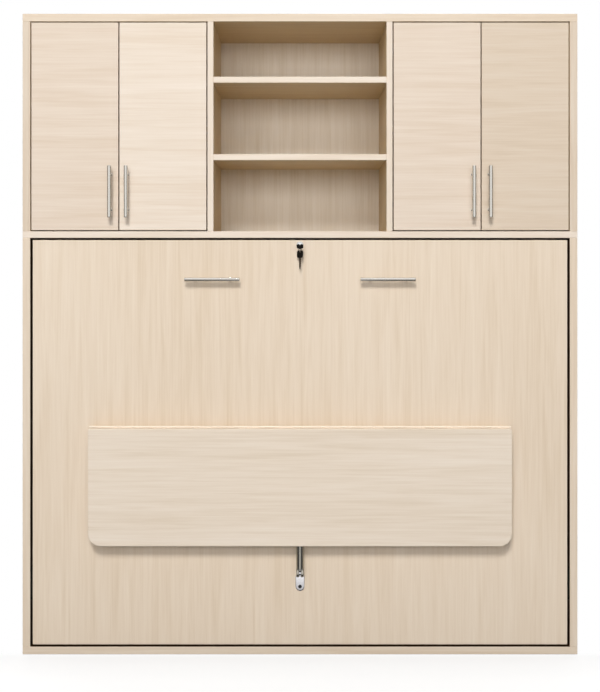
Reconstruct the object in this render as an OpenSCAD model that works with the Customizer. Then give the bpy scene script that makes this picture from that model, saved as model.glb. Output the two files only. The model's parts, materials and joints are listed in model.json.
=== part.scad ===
// Horizontal wall bed with a row of cupboards over it and a desk leaf on its face panel.
// X runs along the width, Z up from the floor, and the front of the bed faces -Y.
// Depths are measured back from the front plane that the doors and the face panel share,
// and place() puts that plane so that the origin is under the middle of the whole object.

/* [Mattress] */
// Length of the mattress, along the wall
mattress_l = 1900; // [1880:10:2000]
// Width of the mattress, which stands upright when stored
mattress_w = 1350; // [1300:10:1400]
// Thickness of the mattress
mattress_t = 180; // [140:5:200]
// Corner radius of the mattress
mattress_corner = 40; // [20:5:80]
// Gap between the mattress and the steel plates at its two ends
mattress_side_gap = 2; // [1:0.5:5]
// Room between the mattress and the boards above and below it
mattress_end_room = 69; // [66:1:90]
// Thickness of the webbing straps
strap_t = 2; // [1.5:0.5:3]
// Width of the webbing straps
strap_w = 40; // [25:5:60]
// Distance of each strap from the middle of the bed
strap_x = 600; // [400:10:700]

/* [Carcase] */
// Depth of the carcase, from the front plane to the wall
carcase_d = 400; // [390:5:460]
// Thickness of the side, top and bottom boards
outer_board = 28; // [25:1:32]
// Thickness of the dividers and the niche shelves
inner_board = 22; // [18:1:25]
// Thickness of the board between the bed and the cupboards
mid_board_t = 24; // [22:1:30]
// Thickness of the back panel of the cupboards
back_board = 8; // [5:1:12]
// Distance of the back panel from the wall
back_recess = 7; // [3:1:12]
// Thickness of the adjustable cupboard shelves
shelf_board = 18; // [16:1:22]
// Height of the cupboard row, inside
cupboard_h = 764; // [700:2:800]
// Clear width of the middle niches
niche_w = 630; // [560:5:700]
// Clear height of the lowest niche
niche_low_h = 259; // [220:1:280]
// Clear height of the middle niche
niche_mid_h = 260; // [220:1:280]
// Height of the adjustable shelf above the floor of its cupboard
cupboard_shelf_h = 370; // [300:5:450]
// Gap at each end and at the front of an adjustable shelf
shelf_gap = 2; // [1:0.5:4]
// Thickness of the plate of a shelf support
support_t = 1.5; // [1:0.5:2]
// Length of the tongue of a shelf support
support_l = 12; // [8:1:16]
// Height of the glides
glide_h = 3; // [2:1:5]
// Radius of the glides
glide_r = 18; // [12:1:25]

/* [Wall rails] */
// Height of the rails that are screwed to the wall
wall_rail_h = 100; // [80:5:120]
// Thickness of the wall rails
wall_rail_t = 18; // [16:1:22]
// Radius of the screw holes in the wall rails
wall_hole_r = 4.5; // [3:0.5:6]
// Distance between the two screw holes of a rail
wall_hole_pitch = 1600; // [1200:50:1700]

/* [Cupboard doors] */
// Thickness of a door
door_t = 19; // [16:1:22]
// Gap around each door
door_gap = 4; // [2:0.5:5]
// Radius of a hinge cup
cup_r = 17.5; // [13:0.5:17.5]
// Depth of a hinge cup
cup_depth = 11.5; // [9:0.5:12.5]
// Rim of door left outside the cup
cup_rim = 5; // [4:0.5:7]
// Distance of each hinge from the door's end
hinge_end = 95; // [80:5:140]
// Thickness of a hinge's mounting plate
hinge_plate_t = 3.5; // [2:0.5:3.5]
// Running gap between a hinge arm and its mounting plate
hinge_gap = 0.5; // [0.3:0.1:1]

/* [Handles] */
// Radius of the handle bars
bar_r = 7.5; // [5:0.5:8]
// Radius of the handle posts
post_r = 4.5; // [3:0.5:5]
// Distance of a bar's axis from the face that it stands on
bar_stand = 30; // [25:1:40]
// Length of a door handle bar
door_bar_l = 188; // [160:2:220]
// Length of a bed handle bar
bed_bar_l = 200; // [160:2:240]
// Distance between a handle's two posts
post_pitch = 128; // [96:32:128]
// Distance of a door handle from the door's free edge
handle_edge = 28; // [22:1:50]
// Height of a door handle's middle above the door's lower edge
handle_rise = 139; // [120:1:200]
// Distance of each bed handle from the middle of the panel
bed_handle_x = 318; // [200:2:400]
// Distance of the bed handles from the panel's upper edge
bed_handle_drop = 143; // [100:1:250]

/* [Face panel] */
// Thickness of the face panel
panel_t = 22; // [18:1:25]
// Gap at each end of the face panel
panel_side_gap = 9; // [8:0.5:12]
// Gap above and below the face panel
panel_end_gap = 8; // [6:0.5:10]

/* [Bed frame] */
// Depth of the frame's rails behind the face panel
rail_d = 38; // [30:1:45]
// Thickness of the frame's rails
rail_t = 25; // [20:1:30]
// Thickness of a slat
slat_t = 12; // [8:1:15]
// Width of a slat
slat_w = 70; // [50:5:90]
// Number of slats
slat_count = 15; // [11:1:17]
// Gap at each end of a slat
slat_gap = 0.5; // [0.3:0.1:2]
// Width of the bearers that the slats lie on
bearer_w = 25; // [20:1:40]

/* [Bed pivot] */
// Depth of the pivot behind the front plane
pivot_depth = 50; // [46:1:56]
// Height of the pivot above the bottom board
pivot_rise = 229; // [215:1:245]
// Radius of the pivot pin
pivot_r = 8; // [6:0.5:10]
// Thickness of the carcase's pivot plates
pivot_plate_t = 5; // [4:0.5:6]
// Thickness of the frame's pivot plates
frame_plate_t = 5; // [4:0.5:6]
// Room between a frame plate and the carcase side, for the gas spring
lift_room = 25; // [25:1:32]
// Radial clearance of every pin in its bore
running = 0.05; // [0.03:0.01:0.1]
// Gap between flat faces that move past each other
face_gap = 0.4; // [0.3:0.1:0.8]

/* [Gas springs] */
// Radius of a gas spring's tube
lift_tube_r = 8.5; // [7:0.5:8.5]
// Radius of a gas spring's rod
lift_rod_r = 5; // [3:0.5:5.5]
// Length of the tube, from its pivot
lift_tube_l = 300; // [280:5:340]
// Length of rod left inside the tube at full reach
lift_overlap = 40; // [25:5:60]
// Depth of the spring's upper pivot behind the front plane
lift_top_depth = 200; // [180:5:230]
// Height of the spring's upper pivot above the bed pivot
lift_top_rise = 450; // [430:5:480]
// Distance of the spring's lower end from the bed pivot
lift_arm = 150; // [130:5:160]
// Radius of the spring's eyes
eye_r = 9; // [8:0.5:10]
// Width of the spring's eyes
eye_w = 12; // [8:1:13]
// Radius of the studs in the eyes
stud_r = 4; // [3:0.5:4.5]

/* [Legs] */
// Thickness of a leg bar
leg_t = 5; // [4:0.5:6]
// Width of a leg bar
leg_w = 30; // [24:1:36]
// Depth of a leg's pivot behind the front plane
leg_depth = 44; // [40:1:48]
// Distance of a leg's pivot below the panel's upper edge
leg_drop = 56; // [50:1:80]
// Radius of a leg's stud
leg_stud_r = 6; // [4:0.5:8]
// Height that a foot stays above the floor when the bed is open
foot_clear = 1; // [0.5:0.5:3]

/* [Lock] */
// Distance of the lock's axis below the panel's upper edge
lock_drop = 18; // [17:0.5:19]
// Radius of the lock's bezel
bezel_r = 13.5; // [12:0.5:16]
// Thickness of the lock's bezel
bezel_t = 4; // [2:0.5:6]
// Radius of the lock's barrel
barrel_r = 9.5; // [8:0.5:11]
// Radius of the turning plug
plug_r = 6; // [4:0.5:7]
// Radius of the black rosette round the keyhole
rosette_r = 9; // [8:0.5:12]
// Thickness of the rosette
rosette_t = 2; // [1:0.5:3]
// Length of the cam, from the lock's axis
cam_l = 40; // [36:1:42]
// Width of the cam
cam_w = 16; // [12:1:16]
// Thickness of the cam
cam_t = 3; // [2:0.5:4]
// Thickness of the ring's wire
ring_wire_r = 0.9; // [0.7:0.1:1]
// Radius of the key ring, to the middle of its wire
ring_r = 6; // [5.5:0.5:7]

/* [Desk] */
// Length of the desk leaf, along the wall
leaf_l = 1520; // [1200:10:1700]
// Depth of the desk leaf
leaf_d = 420; // [380:1:450]
// Thickness of the desk leaf
leaf_t = 25; // [18:1:28]
// Radius of the leaf's two outer corners
leaf_corner = 45; // [20:1:80]
// Height of the stored leaf's upper edge above the floor
leaf_top = 832; // [780:1:860]
// Depth of the ledger rail that the leaf hangs from
ledger_d = 34; // [32:0.5:40]
// Height of the ledger rail
ledger_h = 60; // [40:5:80]
// Radius of the piano hinge's knuckles
knuckle_r = 3.5; // [3:0.25:4]
// Radius of the piano hinge's pin
hinge_pin_r = 1.6; // [1.2:0.1:2]
// Thickness of the piano hinge's leaves
hinge_leaf_t = 1.3; // [1:0.1:1.5]
// Width of the piano hinge's leaves
hinge_leaf_w = 24; // [18:1:30]
// Number of knuckles
knuckles = 20; // [12:2:30]

/* [Desk strut] */
// Radius of the strut's tube
strut_tube_r = 14; // [10:0.5:14.5]
// Radius of the strut's rod
strut_rod_r = 5; // [4:0.5:6]
// Length of the tube, from its pivot
strut_tube_l = 340; // [320:5:350]
// Length of rod left inside the tube at full reach
strut_overlap = 40; // [25:5:50]
// Depth of the strut's pivots in front of the face panel
strut_depth = 17.5; // [17:0.5:18]
// Height of the strut's lower pivot above the floor
strut_foot = 303; // [280:1:320]
// Distance of the strut's upper end from the desk hinge
strut_reach = 150; // [130:5:160]
// Radius of the strut's upper eye
strut_eye_r = 6; // [5:0.5:6.5]
// Width of the strut's upper eye
strut_eye_w = 12; // [8:1:16]
// Thickness of the strut bracket's plates
tab_t = 3; // [2:0.5:4]
// Width of the tab under the strut
tab_w = 33; // [26:1:40]
// Distance of the tab's lower end from the strut's lower pivot
tab_l = 52; // [45:1:70]
// Depth of the groove in the leaf that the strut's eye runs in
groove_d = 7; // [6:0.5:9]

/* [Hidden] */
$fn = 48;
board_color = [0.90, 0.84, 0.75];
panel_color = [0.87, 0.80, 0.70];
inner_color = [0.84, 0.77, 0.67];
steel_color = [0.75, 0.76, 0.77];
dark_color = [0.22, 0.22, 0.23];
timber_color = [0.80, 0.68, 0.50];
cloth_color = [0.93, 0.92, 0.89];

// Widths, from the middle outwards
plate_in = mattress_l / 2 + mattress_side_gap;
plate_out = plate_in + frame_plate_t;
side_in = plate_out + lift_room;
side_out = side_in + outer_board;
panel_hw = side_in - panel_side_gap;
niche_hw = niche_w / 2;
divider_out = niche_hw + inner_board;
door_w = (side_in - divider_out - 3 * door_gap) / 2;

// Heights, from the floor
floor_top = glide_h + outer_board;
mattress_z0 = floor_top + mattress_end_room;
mattress_z1 = mattress_z0 + mattress_w;
mid_z0 = mattress_z1 + mattress_end_room;
mid_z1 = mid_z0 + mid_board_t;
top_z0 = mid_z1 + cupboard_h;
top_z1 = top_z0 + outer_board;
panel_z0 = floor_top + panel_end_gap;
panel_z1 = mid_z0 - panel_end_gap;
door_z0 = mid_z1 + door_gap;
door_z1 = top_z0 - door_gap;
shelf_1_z = mid_z1 + niche_low_h;
shelf_2_z = shelf_1_z + inner_board + niche_mid_h;
cupboard_shelf_z = mid_z1 + cupboard_shelf_h;
pivot_z = floor_top + pivot_rise;

// Depths, from the front plane back to the wall
back_front = carcase_d - back_recess - back_board;
rail_back = panel_t + rail_d;
bearer_back = rail_back - slat_t;
shelf_front = door_t + 40;

// Bed frame
rail_z0 = mattress_z0 - rail_t;
rail_z1 = mattress_z1 + rail_t;

// Gas springs: the reach and the lean of the closed spring
lift_x = (plate_out + side_in) / 2;
lift_top_z = pivot_z + lift_top_rise;
lift_low_z = pivot_z - lift_arm;
lift_dy = lift_top_depth - pivot_depth;
lift_dz = lift_top_z - lift_low_z;
lift_len = sqrt(lift_dy * lift_dy + lift_dz * lift_dz);
lift_len_open = norm([lift_top_depth - pivot_depth - lift_arm, lift_top_rise]);
lift_lean = atan2(lift_dy, lift_dz);
lift_rod_l = lift_len - lift_tube_l + lift_overlap;

// Legs, whose feet meet the floor when the bed lies open
leg_z = panel_z1 - leg_drop;
leg_l = pivot_z + leg_depth - pivot_depth - foot_clear;
leg_x = (panel_hw + side_in - leg_t) / 2;

// Lock, whose closed cam lies sideways
lock_z = panel_z1 - lock_drop;
nut_r = barrel_r + 2.5;
nut_t = 4;
cam_depth = panel_t + nut_t + face_gap;
key_w = 4.2;
key_rise = 3;
key_d = 22;
key_front = bezel_t + 7 + key_d;
key_hole_z = lock_z - 11.5;
key_hole_r = 2;
ring_depth = bezel_t + 18;
ring_z = key_hole_z - 0.5 - ring_r;
bow_w = 25;
bow_h = 26;
bow_top = ring_z - 2.6;
spare_t = 2;

knuckle_gap = 0.4;
// Desk: the hinge's axis and the faces on each side of it
hinge_depth = ledger_d + knuckle_r / 2;
ledger_front = hinge_depth - hinge_leaf_t - 0.2;
leaf_back = hinge_depth + hinge_leaf_t + 0.2;
leaf_front = leaf_back + leaf_t;
hinge_z = leaf_top + knuckle_r + knuckle_gap;
knuckle_l = leaf_l / knuckles;

// Desk strut, standing behind the stored leaf
tongue_w = 6;
tongue_r = 9;
fork_hw = 13;
fork_r = strut_tube_r - 0.2;
strut_top_z = hinge_z - strut_reach;
strut_len = strut_top_z - strut_foot;
strut_open_dy = strut_reach + hinge_depth - strut_depth;
strut_open_dz = hinge_z - (hinge_depth - strut_depth) - strut_foot;
strut_len_open = norm([strut_open_dy, strut_open_dz]);
strut_rod_l = strut_len_open - strut_tube_l + strut_overlap;

// The front plane lies so that the desk's face and the wall are equally far from the origin
front_y = (leaf_front - carcase_d) / 2;

// Shared helpers. A depth is counted back from the front plane, so what stands proud is negative.

module place() {
    translate([0, front_y, 0]) children();
}

module mirrored() {
    mirror([1, 0, 0]) children();
}

module both_sides() {
    children();
    mirrored() children();
}

module board(x0, x1, d0, d1, z0, z1) {
    translate([x0, d0, z0]) cube([x1 - x0, d1 - d0, z1 - z0]);
}

module rod_x(x0, x1, d, z, r) {
    translate([x0, d, z]) rotate([0, 90, 0]) cylinder(r = r, h = x1 - x0);
}

module rod_y(x, d0, d1, z, r) {
    translate([x, d0, z]) rotate([-90, 0, 0]) cylinder(r = r, h = d1 - d0);
}

module rod_z(x, d, z0, z1, r) {
    translate([x, d, z0]) cylinder(r = r, h = z1 - z0);
}

// Carcase boards

module top_board() {
    color(board_color) place() board(-side_out, side_out, 0, carcase_d, top_z0, top_z1);
}

// The pocket takes the lock's cam, which swings up into it from the side.
module mid_board() {
    color(board_color) place() difference() {
        board(-side_out, side_out, 0, carcase_d, mid_z0, mid_z1);
        board(-cam_w / 2 - 2, cam_l, cam_depth - 2, cam_depth + cam_t + 2, mid_z0 - 1, lock_z + cam_l + 3);
    }
}

module bottom_board() {
    color(board_color) place() board(-side_out, side_out, 0, carcase_d, glide_h, floor_top);
}

module lower_side() {
    color(board_color) place() board(side_in, side_out, 0, carcase_d, floor_top, mid_z0);
}

module upper_side() {
    color(board_color) place() board(side_in, side_out, 0, carcase_d, mid_z1, top_z0);
}

module lower_side_left() {
    mirrored() lower_side();
}

module lower_side_right() {
    lower_side();
}

module upper_side_left() {
    mirrored() upper_side();
}

module upper_side_right() {
    upper_side();
}

module divider() {
    color(board_color) place() board(niche_hw, divider_out, 0, back_front, mid_z1, top_z0);
}

module divider_left() {
    mirrored() divider();
}

module divider_right() {
    divider();
}

module niche_shelves() {
    color(board_color) place() {
        for (z = [shelf_1_z, shelf_2_z]) {
            board(-niche_hw, niche_hw, 0, back_front, z, z + inner_board);
        }
    }
}

module cupboard_shelves() {
    color(inner_color) both_sides() place() {
        board(divider_out + shelf_gap, side_in - shelf_gap, shelf_front, back_front - shelf_gap,
            cupboard_shelf_z, cupboard_shelf_z + shelf_board);
    }
}

// One spoon support: a plate on the wall of the cupboard and a tongue under the shelf
module shelf_support(x, d, side) {
    plate_w = 10;
    plate_h = 14;
    translate([x, d, cupboard_shelf_z]) mirror([side, 0, 0]) {
        translate([0, 0, -plate_h]) cube([support_t, plate_w, plate_h]);
        translate([0, 0, -support_t]) cube([support_l, plate_w, support_t]);
    }
}

module shelf_supports() {
    from_front = 30;
    from_back = 60;
    color(steel_color) both_sides() place() {
        for (d = [shelf_front + from_front, back_front - from_back]) {
            shelf_support(divider_out, d, 0);
            shelf_support(side_in, d, 1);
        }
    }
}

module upper_back_panel() {
    color(inner_color) place() {
        board(-side_in, side_in, back_front, back_front + back_board, mid_z1, top_z0);
    }
}

// The thin back of the bed's opening fills the space between the two wall rails.
module lower_back_panel() {
    color(inner_color) place() {
        board(-side_in, side_in, back_front, back_front + back_board,
            floor_top + wall_rail_h, mid_z0 - wall_rail_h);
    }
}

// Two rails across the bed's opening, each with two screw holes to the wall
module wall_rails() {
    color(board_color) place() {
        for (z = [floor_top, mid_z0 - wall_rail_h]) {
            difference() {
                board(-side_in, side_in, carcase_d - wall_rail_t, carcase_d, z, z + wall_rail_h);
                for (x = [-wall_hole_pitch / 2, wall_hole_pitch / 2]) {
                    rod_y(x, carcase_d - wall_rail_t - 1, carcase_d + 1, z + wall_rail_h / 2, wall_hole_r);
                }
            }
        }
    }
}

module glides() {
    from_edge = 40;
    glide_x = side_out - 60;
    color(dark_color) place() {
        for (x = [-glide_x, 0, glide_x]) {
            for (d = [from_edge, carcase_d - from_edge]) {
                rod_z(x, d, 0, glide_h, glide_r);
            }
        }
    }
}

// Bed pivot on the carcase: a plate, a boss that spaces the frame off it, and the pin
module pivot_plates() {
    plate_hw = 38;
    plate_hh = 60;
    color(steel_color) both_sides() place() {
        board(side_in - pivot_plate_t, side_in, pivot_depth - plate_hw, pivot_depth + plate_hw,
            pivot_z - plate_hh, pivot_z + plate_hh);
        rod_x(plate_out + face_gap, side_in - pivot_plate_t / 2, pivot_depth, pivot_z, pivot_r + 5);
        rod_x(plate_in + 0.5, side_in - pivot_plate_t / 2, pivot_depth, pivot_z, pivot_r);
    }
}

module lift_brackets() {
    plate_t = lift_room / 2 - lift_tube_r - face_gap;
    plate_hw = 30;
    color(steel_color) both_sides() place() {
        board(side_in - plate_t, side_in, lift_top_depth - plate_hw, lift_top_depth + plate_hw,
            lift_top_z - plate_hw, lift_top_z + plate_hw);
        rod_x(lift_x - eye_w / 2 - 0.5, side_in - plate_t / 2, lift_top_depth, lift_top_z, stud_r);
    }
}

// Cupboard doors. A door is drawn with its hinge edge at x = 0 and its free edge towards +X,
// and at_door() carries it to its place: doors 1 and 3 hang on their left edges, 2 and 4 on their right.

module at_door(n) {
    if (n == 1) translate([-side_in + door_gap, 0, 0]) children();
    if (n == 2) translate([-divider_out - door_gap, 0, 0]) mirrored() children();
    if (n == 3) translate([divider_out + door_gap, 0, 0]) children();
    if (n == 4) translate([side_in - door_gap, 0, 0]) mirrored() children();
}

hinge_heights = [door_z0 + hinge_end, door_z1 - hinge_end];
cup_x = cup_rim + cup_r;

module door(n) {
    color(panel_color) place() at_door(n) difference() {
        board(0, door_w, 0, door_t, door_z0, door_z1);
        for (z = hinge_heights) {
            rod_y(cup_x, door_t - cup_depth, door_t + 1, z, cup_r + running);
        }
    }
}

module door_handle(n) {
    mid_z = door_z0 + handle_rise;
    handle_x = door_w - handle_edge;
    color(steel_color) place() at_door(n) {
        rod_z(handle_x, -bar_stand, mid_z - door_bar_l / 2, mid_z + door_bar_l / 2, bar_r);
        for (z = [mid_z - post_pitch / 2, mid_z + post_pitch / 2]) {
            rod_y(handle_x, -bar_stand, 0, z, post_r);
        }
    }
}

// The cup let into the door, its flange, and the arm that lies along the cupboard's wall
module hinge_arms(n) {
    arm_x = hinge_gap + hinge_plate_t - door_gap;
    arm_t = 10;
    arm_h = 16;
    arm_rise = 9;
    arm_l = 43;
    flange_t = 1.5;
    flange_hh = 26;
    color(steel_color) place() at_door(n) {
        for (z = hinge_heights) {
            rod_y(cup_x, door_t - cup_depth + 0.5, door_t + flange_t, z, cup_r);
            board(cup_rim, 2 * cup_r, door_t, door_t + flange_t, z - flange_hh, z + flange_hh);
            board(arm_x, cup_x, door_t + flange_t, door_t + arm_rise, z - arm_h / 2, z + arm_h / 2);
            board(arm_x, arm_x + arm_t, door_t + flange_t, door_t + arm_l, z - arm_h / 2, z + arm_h / 2);
        }
    }
}

module hinge_plates() {
    from_door = 12;
    plate_l = 43;
    plate_hh = 25;
    color(steel_color) place() for (n = [1:4]) at_door(n) {
        for (z = hinge_heights) {
            board(-door_gap, hinge_plate_t - door_gap, door_t + from_door, door_t + from_door + plate_l,
                z - plate_hh, z + plate_hh);
        }
    }
}

module door_1() {
    door(1);
}

module door_2() {
    door(2);
}

module door_3() {
    door(3);
}

module door_4() {
    door(4);
}

module door_handle_1() {
    door_handle(1);
}

module door_handle_2() {
    door_handle(2);
}

module door_handle_3() {
    door_handle(3);
}

module door_handle_4() {
    door_handle(4);
}

module hinge_arms_1() {
    hinge_arms(1);
}

module hinge_arms_2() {
    hinge_arms(2);
}

module hinge_arms_3() {
    hinge_arms(3);
}

module hinge_arms_4() {
    hinge_arms(4);
}

// Bed: the face panel and the timber frame behind it

module face_panel() {
    color(panel_color) place() difference() {
        board(-panel_hw, panel_hw, 0, panel_t, panel_z0, panel_z1);
        rod_y(0, -1, panel_t + 1, lock_z, barrel_r + running);
    }
}

module bed_side_rails() {
    color(timber_color) both_sides() place() {
        board(plate_in - rail_t, plate_in, panel_t, rail_back, rail_z0, rail_z1);
    }
}

module bed_end_rails() {
    color(timber_color) place() {
        for (z = [rail_z0, mattress_z1]) {
            board(-plate_in + rail_t, plate_in - rail_t, panel_t, rail_back, z, z + rail_t);
        }
    }
}

module slat_bearers() {
    beam_z = (mattress_z0 + mattress_z1 - bearer_w) / 2;
    color(timber_color) place() {
        for (z = [mattress_z0, beam_z, mattress_z1 - bearer_w]) {
            board(-plate_in + rail_t, plate_in - rail_t, panel_t, bearer_back, z, z + bearer_w);
        }
    }
}

module slats() {
    pitch = 2 * (plate_in - rail_t) / slat_count;
    color(timber_color) place() {
        for (i = [0:slat_count - 1]) {
            x = (i - (slat_count - 1) / 2) * pitch;
            board(x - slat_w / 2, x + slat_w / 2, bearer_back, rail_back,
                mattress_z0 + slat_gap, mattress_z1 - slat_gap);
        }
    }
}

module mattress() {
    color(cloth_color) place() translate([0, rail_back + 0.3 + mattress_t, 0]) rotate([90, 0, 0]) {
        linear_extrude(mattress_t) {
            for (x = [mattress_corner - mattress_l / 2, mattress_l / 2 - mattress_corner]) {
                for (z = [mattress_z0 + mattress_corner, mattress_z1 - mattress_corner]) {
                    translate([x, z]) circle(r = mattress_corner);
                }
            }
            translate([mattress_corner - mattress_l / 2, mattress_z0])
                square([mattress_l - 2 * mattress_corner, mattress_w]);
            translate([-mattress_l / 2, mattress_z0 + mattress_corner])
                square([mattress_l, mattress_w - 2 * mattress_corner]);
        }
    }
}

// Two straps over the mattress, each turned down to the frame's end rails
module mattress_straps() {
    inner_back = rail_back + mattress_t + 0.6;
    color(dark_color) both_sides() place() difference() {
        board(strap_x - strap_w / 2, strap_x + strap_w / 2, rail_back, inner_back + strap_t,
            mattress_z0 - 0.3 - strap_t, mattress_z1 + 0.3 + strap_t);
        board(strap_x - strap_w, strap_x + strap_w, rail_back - 1, inner_back,
            mattress_z0 - 0.3, mattress_z1 + 0.3);
    }
}

// Plates on the ends of the frame, bored for the pivot pins and reaching down to the gas springs
module bed_pivot_plates() {
    color(steel_color) both_sides() place() difference() {
        board(plate_in, plate_out, panel_t, pivot_depth + 34, lift_low_z - 25, pivot_z + 60);
        rod_x(plate_in - 1, plate_out + 1, pivot_depth, pivot_z, pivot_r + running);
    }
}

module leg_studs() {
    color(steel_color) both_sides() place() {
        rod_x(plate_in, leg_x + leg_t + 1, leg_depth, leg_z, leg_stud_r);
        rod_x(plate_in, leg_x - face_gap, leg_depth, leg_z, leg_stud_r + 4);
    }
}

module bed_handles() {
    z = panel_z1 - bed_handle_drop;
    color(steel_color) both_sides() place() {
        rod_x(bed_handle_x - bed_bar_l / 2, bed_handle_x + bed_bar_l / 2, -bar_stand, z, bar_r);
        for (x = [bed_handle_x - post_pitch / 2, bed_handle_x + post_pitch / 2]) {
            rod_y(x, -bar_stand, 0, z, post_r);
        }
    }
}

// Lock: bezel, barrel and nut, bored for the plug
module lock_body() {
    color(steel_color) place() difference() {
        union() {
            rod_y(0, -bezel_t, 0, lock_z, bezel_r);
            rod_y(0, -bezel_t, panel_t + nut_t, lock_z, barrel_r);
            rod_y(0, panel_t, panel_t + nut_t, lock_z, nut_r);
        }
        rod_y(0, -bezel_t - 1, panel_t + nut_t + 1, lock_z, plug_r + running);
    }
}

module lock_plug() {
    color(dark_color) place() {
        rod_y(0, -bezel_t - rosette_t - face_gap, cam_depth + cam_t, lock_z, plug_r);
        rod_y(0, -bezel_t - rosette_t - face_gap, -bezel_t - face_gap, lock_z, rosette_r);
        board(-cam_w / 2, cam_l, cam_depth, cam_depth + cam_t, lock_z - cam_w / 2, lock_z + cam_w / 2);
    }
}

// The key in the lock: a shank, a stem with the hole that the ring passes through, and the
// bow, which folds flat in front of the stem and has two lobes
module lock_key() {
    head_r = 6;
    head_w = 24;
    head_h = 16;
    head_t = 4.5;
    foot_r = 4;
    head_top = lock_z + key_rise;
    head_back = -key_front + head_t;
    color(dark_color) place() difference() {
        union() {
            board(-key_w / 2, key_w / 2, -key_front, -key_front + key_d,
                key_hole_z - key_hole_r - 1.6, head_top);
            rod_y(0, -key_front + key_d - 1, -bezel_t - rosette_t - face_gap, lock_z, 3);
            for (x = [-head_w / 2 + head_r, head_w / 2 - head_r]) {
                rod_y(x, -key_front, head_back, head_top - head_r, head_r);
            }
            for (x = [-head_w / 2 + foot_r, head_w / 2 - foot_r]) {
                rod_y(x, -key_front, head_back, head_top - head_h + foot_r, foot_r);
            }
            board(-head_w / 2, head_w / 2, -key_front, head_back,
                head_top - head_h + foot_r, head_top - head_r);
            board(-head_w / 2 + foot_r, head_w / 2 - foot_r, -key_front, head_back,
                head_top - head_h, head_top - head_r);
        }
        rod_x(-key_w, key_w, -ring_depth, key_hole_z, key_hole_r);
    }
}

// Outline of the spare key's bow, a rounded rectangle with the ring's slot, its top at 0
module bow_outline() {
    corner = 6;
    slot_w = 9;
    slot_h = 3.8;
    slot_drop = 1.4;
    difference() {
        union() {
            for (x = [corner - bow_w / 2, bow_w / 2 - corner]) {
                translate([x, -corner]) circle(r = corner);
                translate([x, corner - bow_h]) circle(r = corner);
            }
            translate([-bow_w / 2, corner - bow_h]) square([bow_w, bow_h - 2 * corner]);
            translate([corner - bow_w / 2, -bow_h]) square([bow_w - 2 * corner, bow_h]);
        }
        translate([-slot_w / 2, -slot_drop - slot_h]) square([slot_w, slot_h]);
    }
}

// The ring and the second key, which hangs from it a little turned
module spare_key() {
    turn = -32;
    blade_l = 42;
    blade_hw = 3.7;
    tip_l = 11;
    tip_hw = 1;
    blade_t = 1.4;
    color(dark_color) place() {
        translate([0, -ring_depth, ring_z]) rotate([90, 0, 0]) rotate_extrude() {
            translate([ring_r, 0]) circle(r = ring_wire_r);
        }
        translate([0, -ring_depth, bow_top]) rotate([0, 0, turn]) rotate([90, 0, 0]) {
            translate([0, 0, -spare_t / 2]) linear_extrude(spare_t) bow_outline();
            translate([0, -bow_h + 1, -blade_t / 2]) linear_extrude(blade_t) polygon([
                [-blade_hw, 0], [blade_hw, 0], [blade_hw, tip_l - blade_l],
                [tip_hw, -blade_l], [-tip_hw, -blade_l], [-blade_hw, tip_l - blade_l]
            ]);
        }
    }
}

// Desk: the ledger rail on the panel, the piano hinge, the leaf and its stops

module desk_rail() {
    color(panel_color) place() {
        board(-leaf_l / 2, leaf_l / 2, -ledger_front, 0, leaf_top - ledger_h, leaf_top);
    }
}

// Half of the piano hinge's knuckles, bored for the pin, each with its tab to the leaf
module hinge_knuckles(first, tab_d0, tab_d1) {
    difference() {
        union() {
            for (i = [first:2:knuckles - 1]) {
                x0 = -leaf_l / 2 + i * knuckle_l + knuckle_gap / 2;
                x1 = x0 + knuckle_l - knuckle_gap;
                rod_x(x0, x1, -hinge_depth, hinge_z, knuckle_r);
                board(x0, x1, tab_d0, tab_d1, leaf_top - hinge_leaf_w, hinge_z);
            }
            board(-leaf_l / 2, leaf_l / 2, tab_d0, tab_d1, leaf_top - hinge_leaf_w, leaf_top - 0.5);
        }
        rod_x(-leaf_l / 2 - 1, leaf_l / 2 + 1, -hinge_depth, hinge_z, hinge_pin_r + running);
    }
}

module desk_hinge_fixed() {
    color(steel_color) place() {
        hinge_knuckles(0, -ledger_front - hinge_leaf_t, -ledger_front);
        rod_x(-leaf_l / 2, leaf_l / 2, -hinge_depth, hinge_z, hinge_pin_r);
    }
}

module desk_hinge_moving() {
    color(steel_color) place() hinge_knuckles(1, -leaf_back, -leaf_back + hinge_leaf_t);
}

// The leaf hangs with its round corners at the bottom, and a groove in its back clears the strut's eye
module desk_leaf() {
    leaf_z0 = leaf_top - leaf_d;
    groove_hw = strut_eye_w / 2 + 4;
    groove_below = 45;
    groove_above = 90;
    color(panel_color) place() difference() {
        translate([0, -leaf_back, 0]) rotate([90, 0, 0]) linear_extrude(leaf_t) {
            for (x = [leaf_corner - leaf_l / 2, leaf_l / 2 - leaf_corner]) {
                translate([x, leaf_z0 + leaf_corner]) circle(r = leaf_corner);
            }
            translate([leaf_corner - leaf_l / 2, leaf_z0]) square([leaf_l - 2 * leaf_corner, leaf_d]);
            translate([-leaf_l / 2, leaf_z0 + leaf_corner]) square([leaf_l, leaf_d - leaf_corner]);
        }
        board(-groove_hw, groove_hw, -leaf_back - groove_d, -leaf_back + 1,
            strut_top_z - groove_below, strut_top_z + groove_above);
    }
}

module desk_bumpers() {
    from_end = 80;
    from_edge = 60;
    bumper_r = 9;
    bumper_x = leaf_l / 2 - from_end;
    color(dark_color) both_sides() place() {
        rod_y(bumper_x, -leaf_back + 0.3, 0, leaf_top - leaf_d + from_edge, bumper_r);
    }
}

// Strut: the bracket under it, the tube, the rod and the ears beside its upper eye

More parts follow.
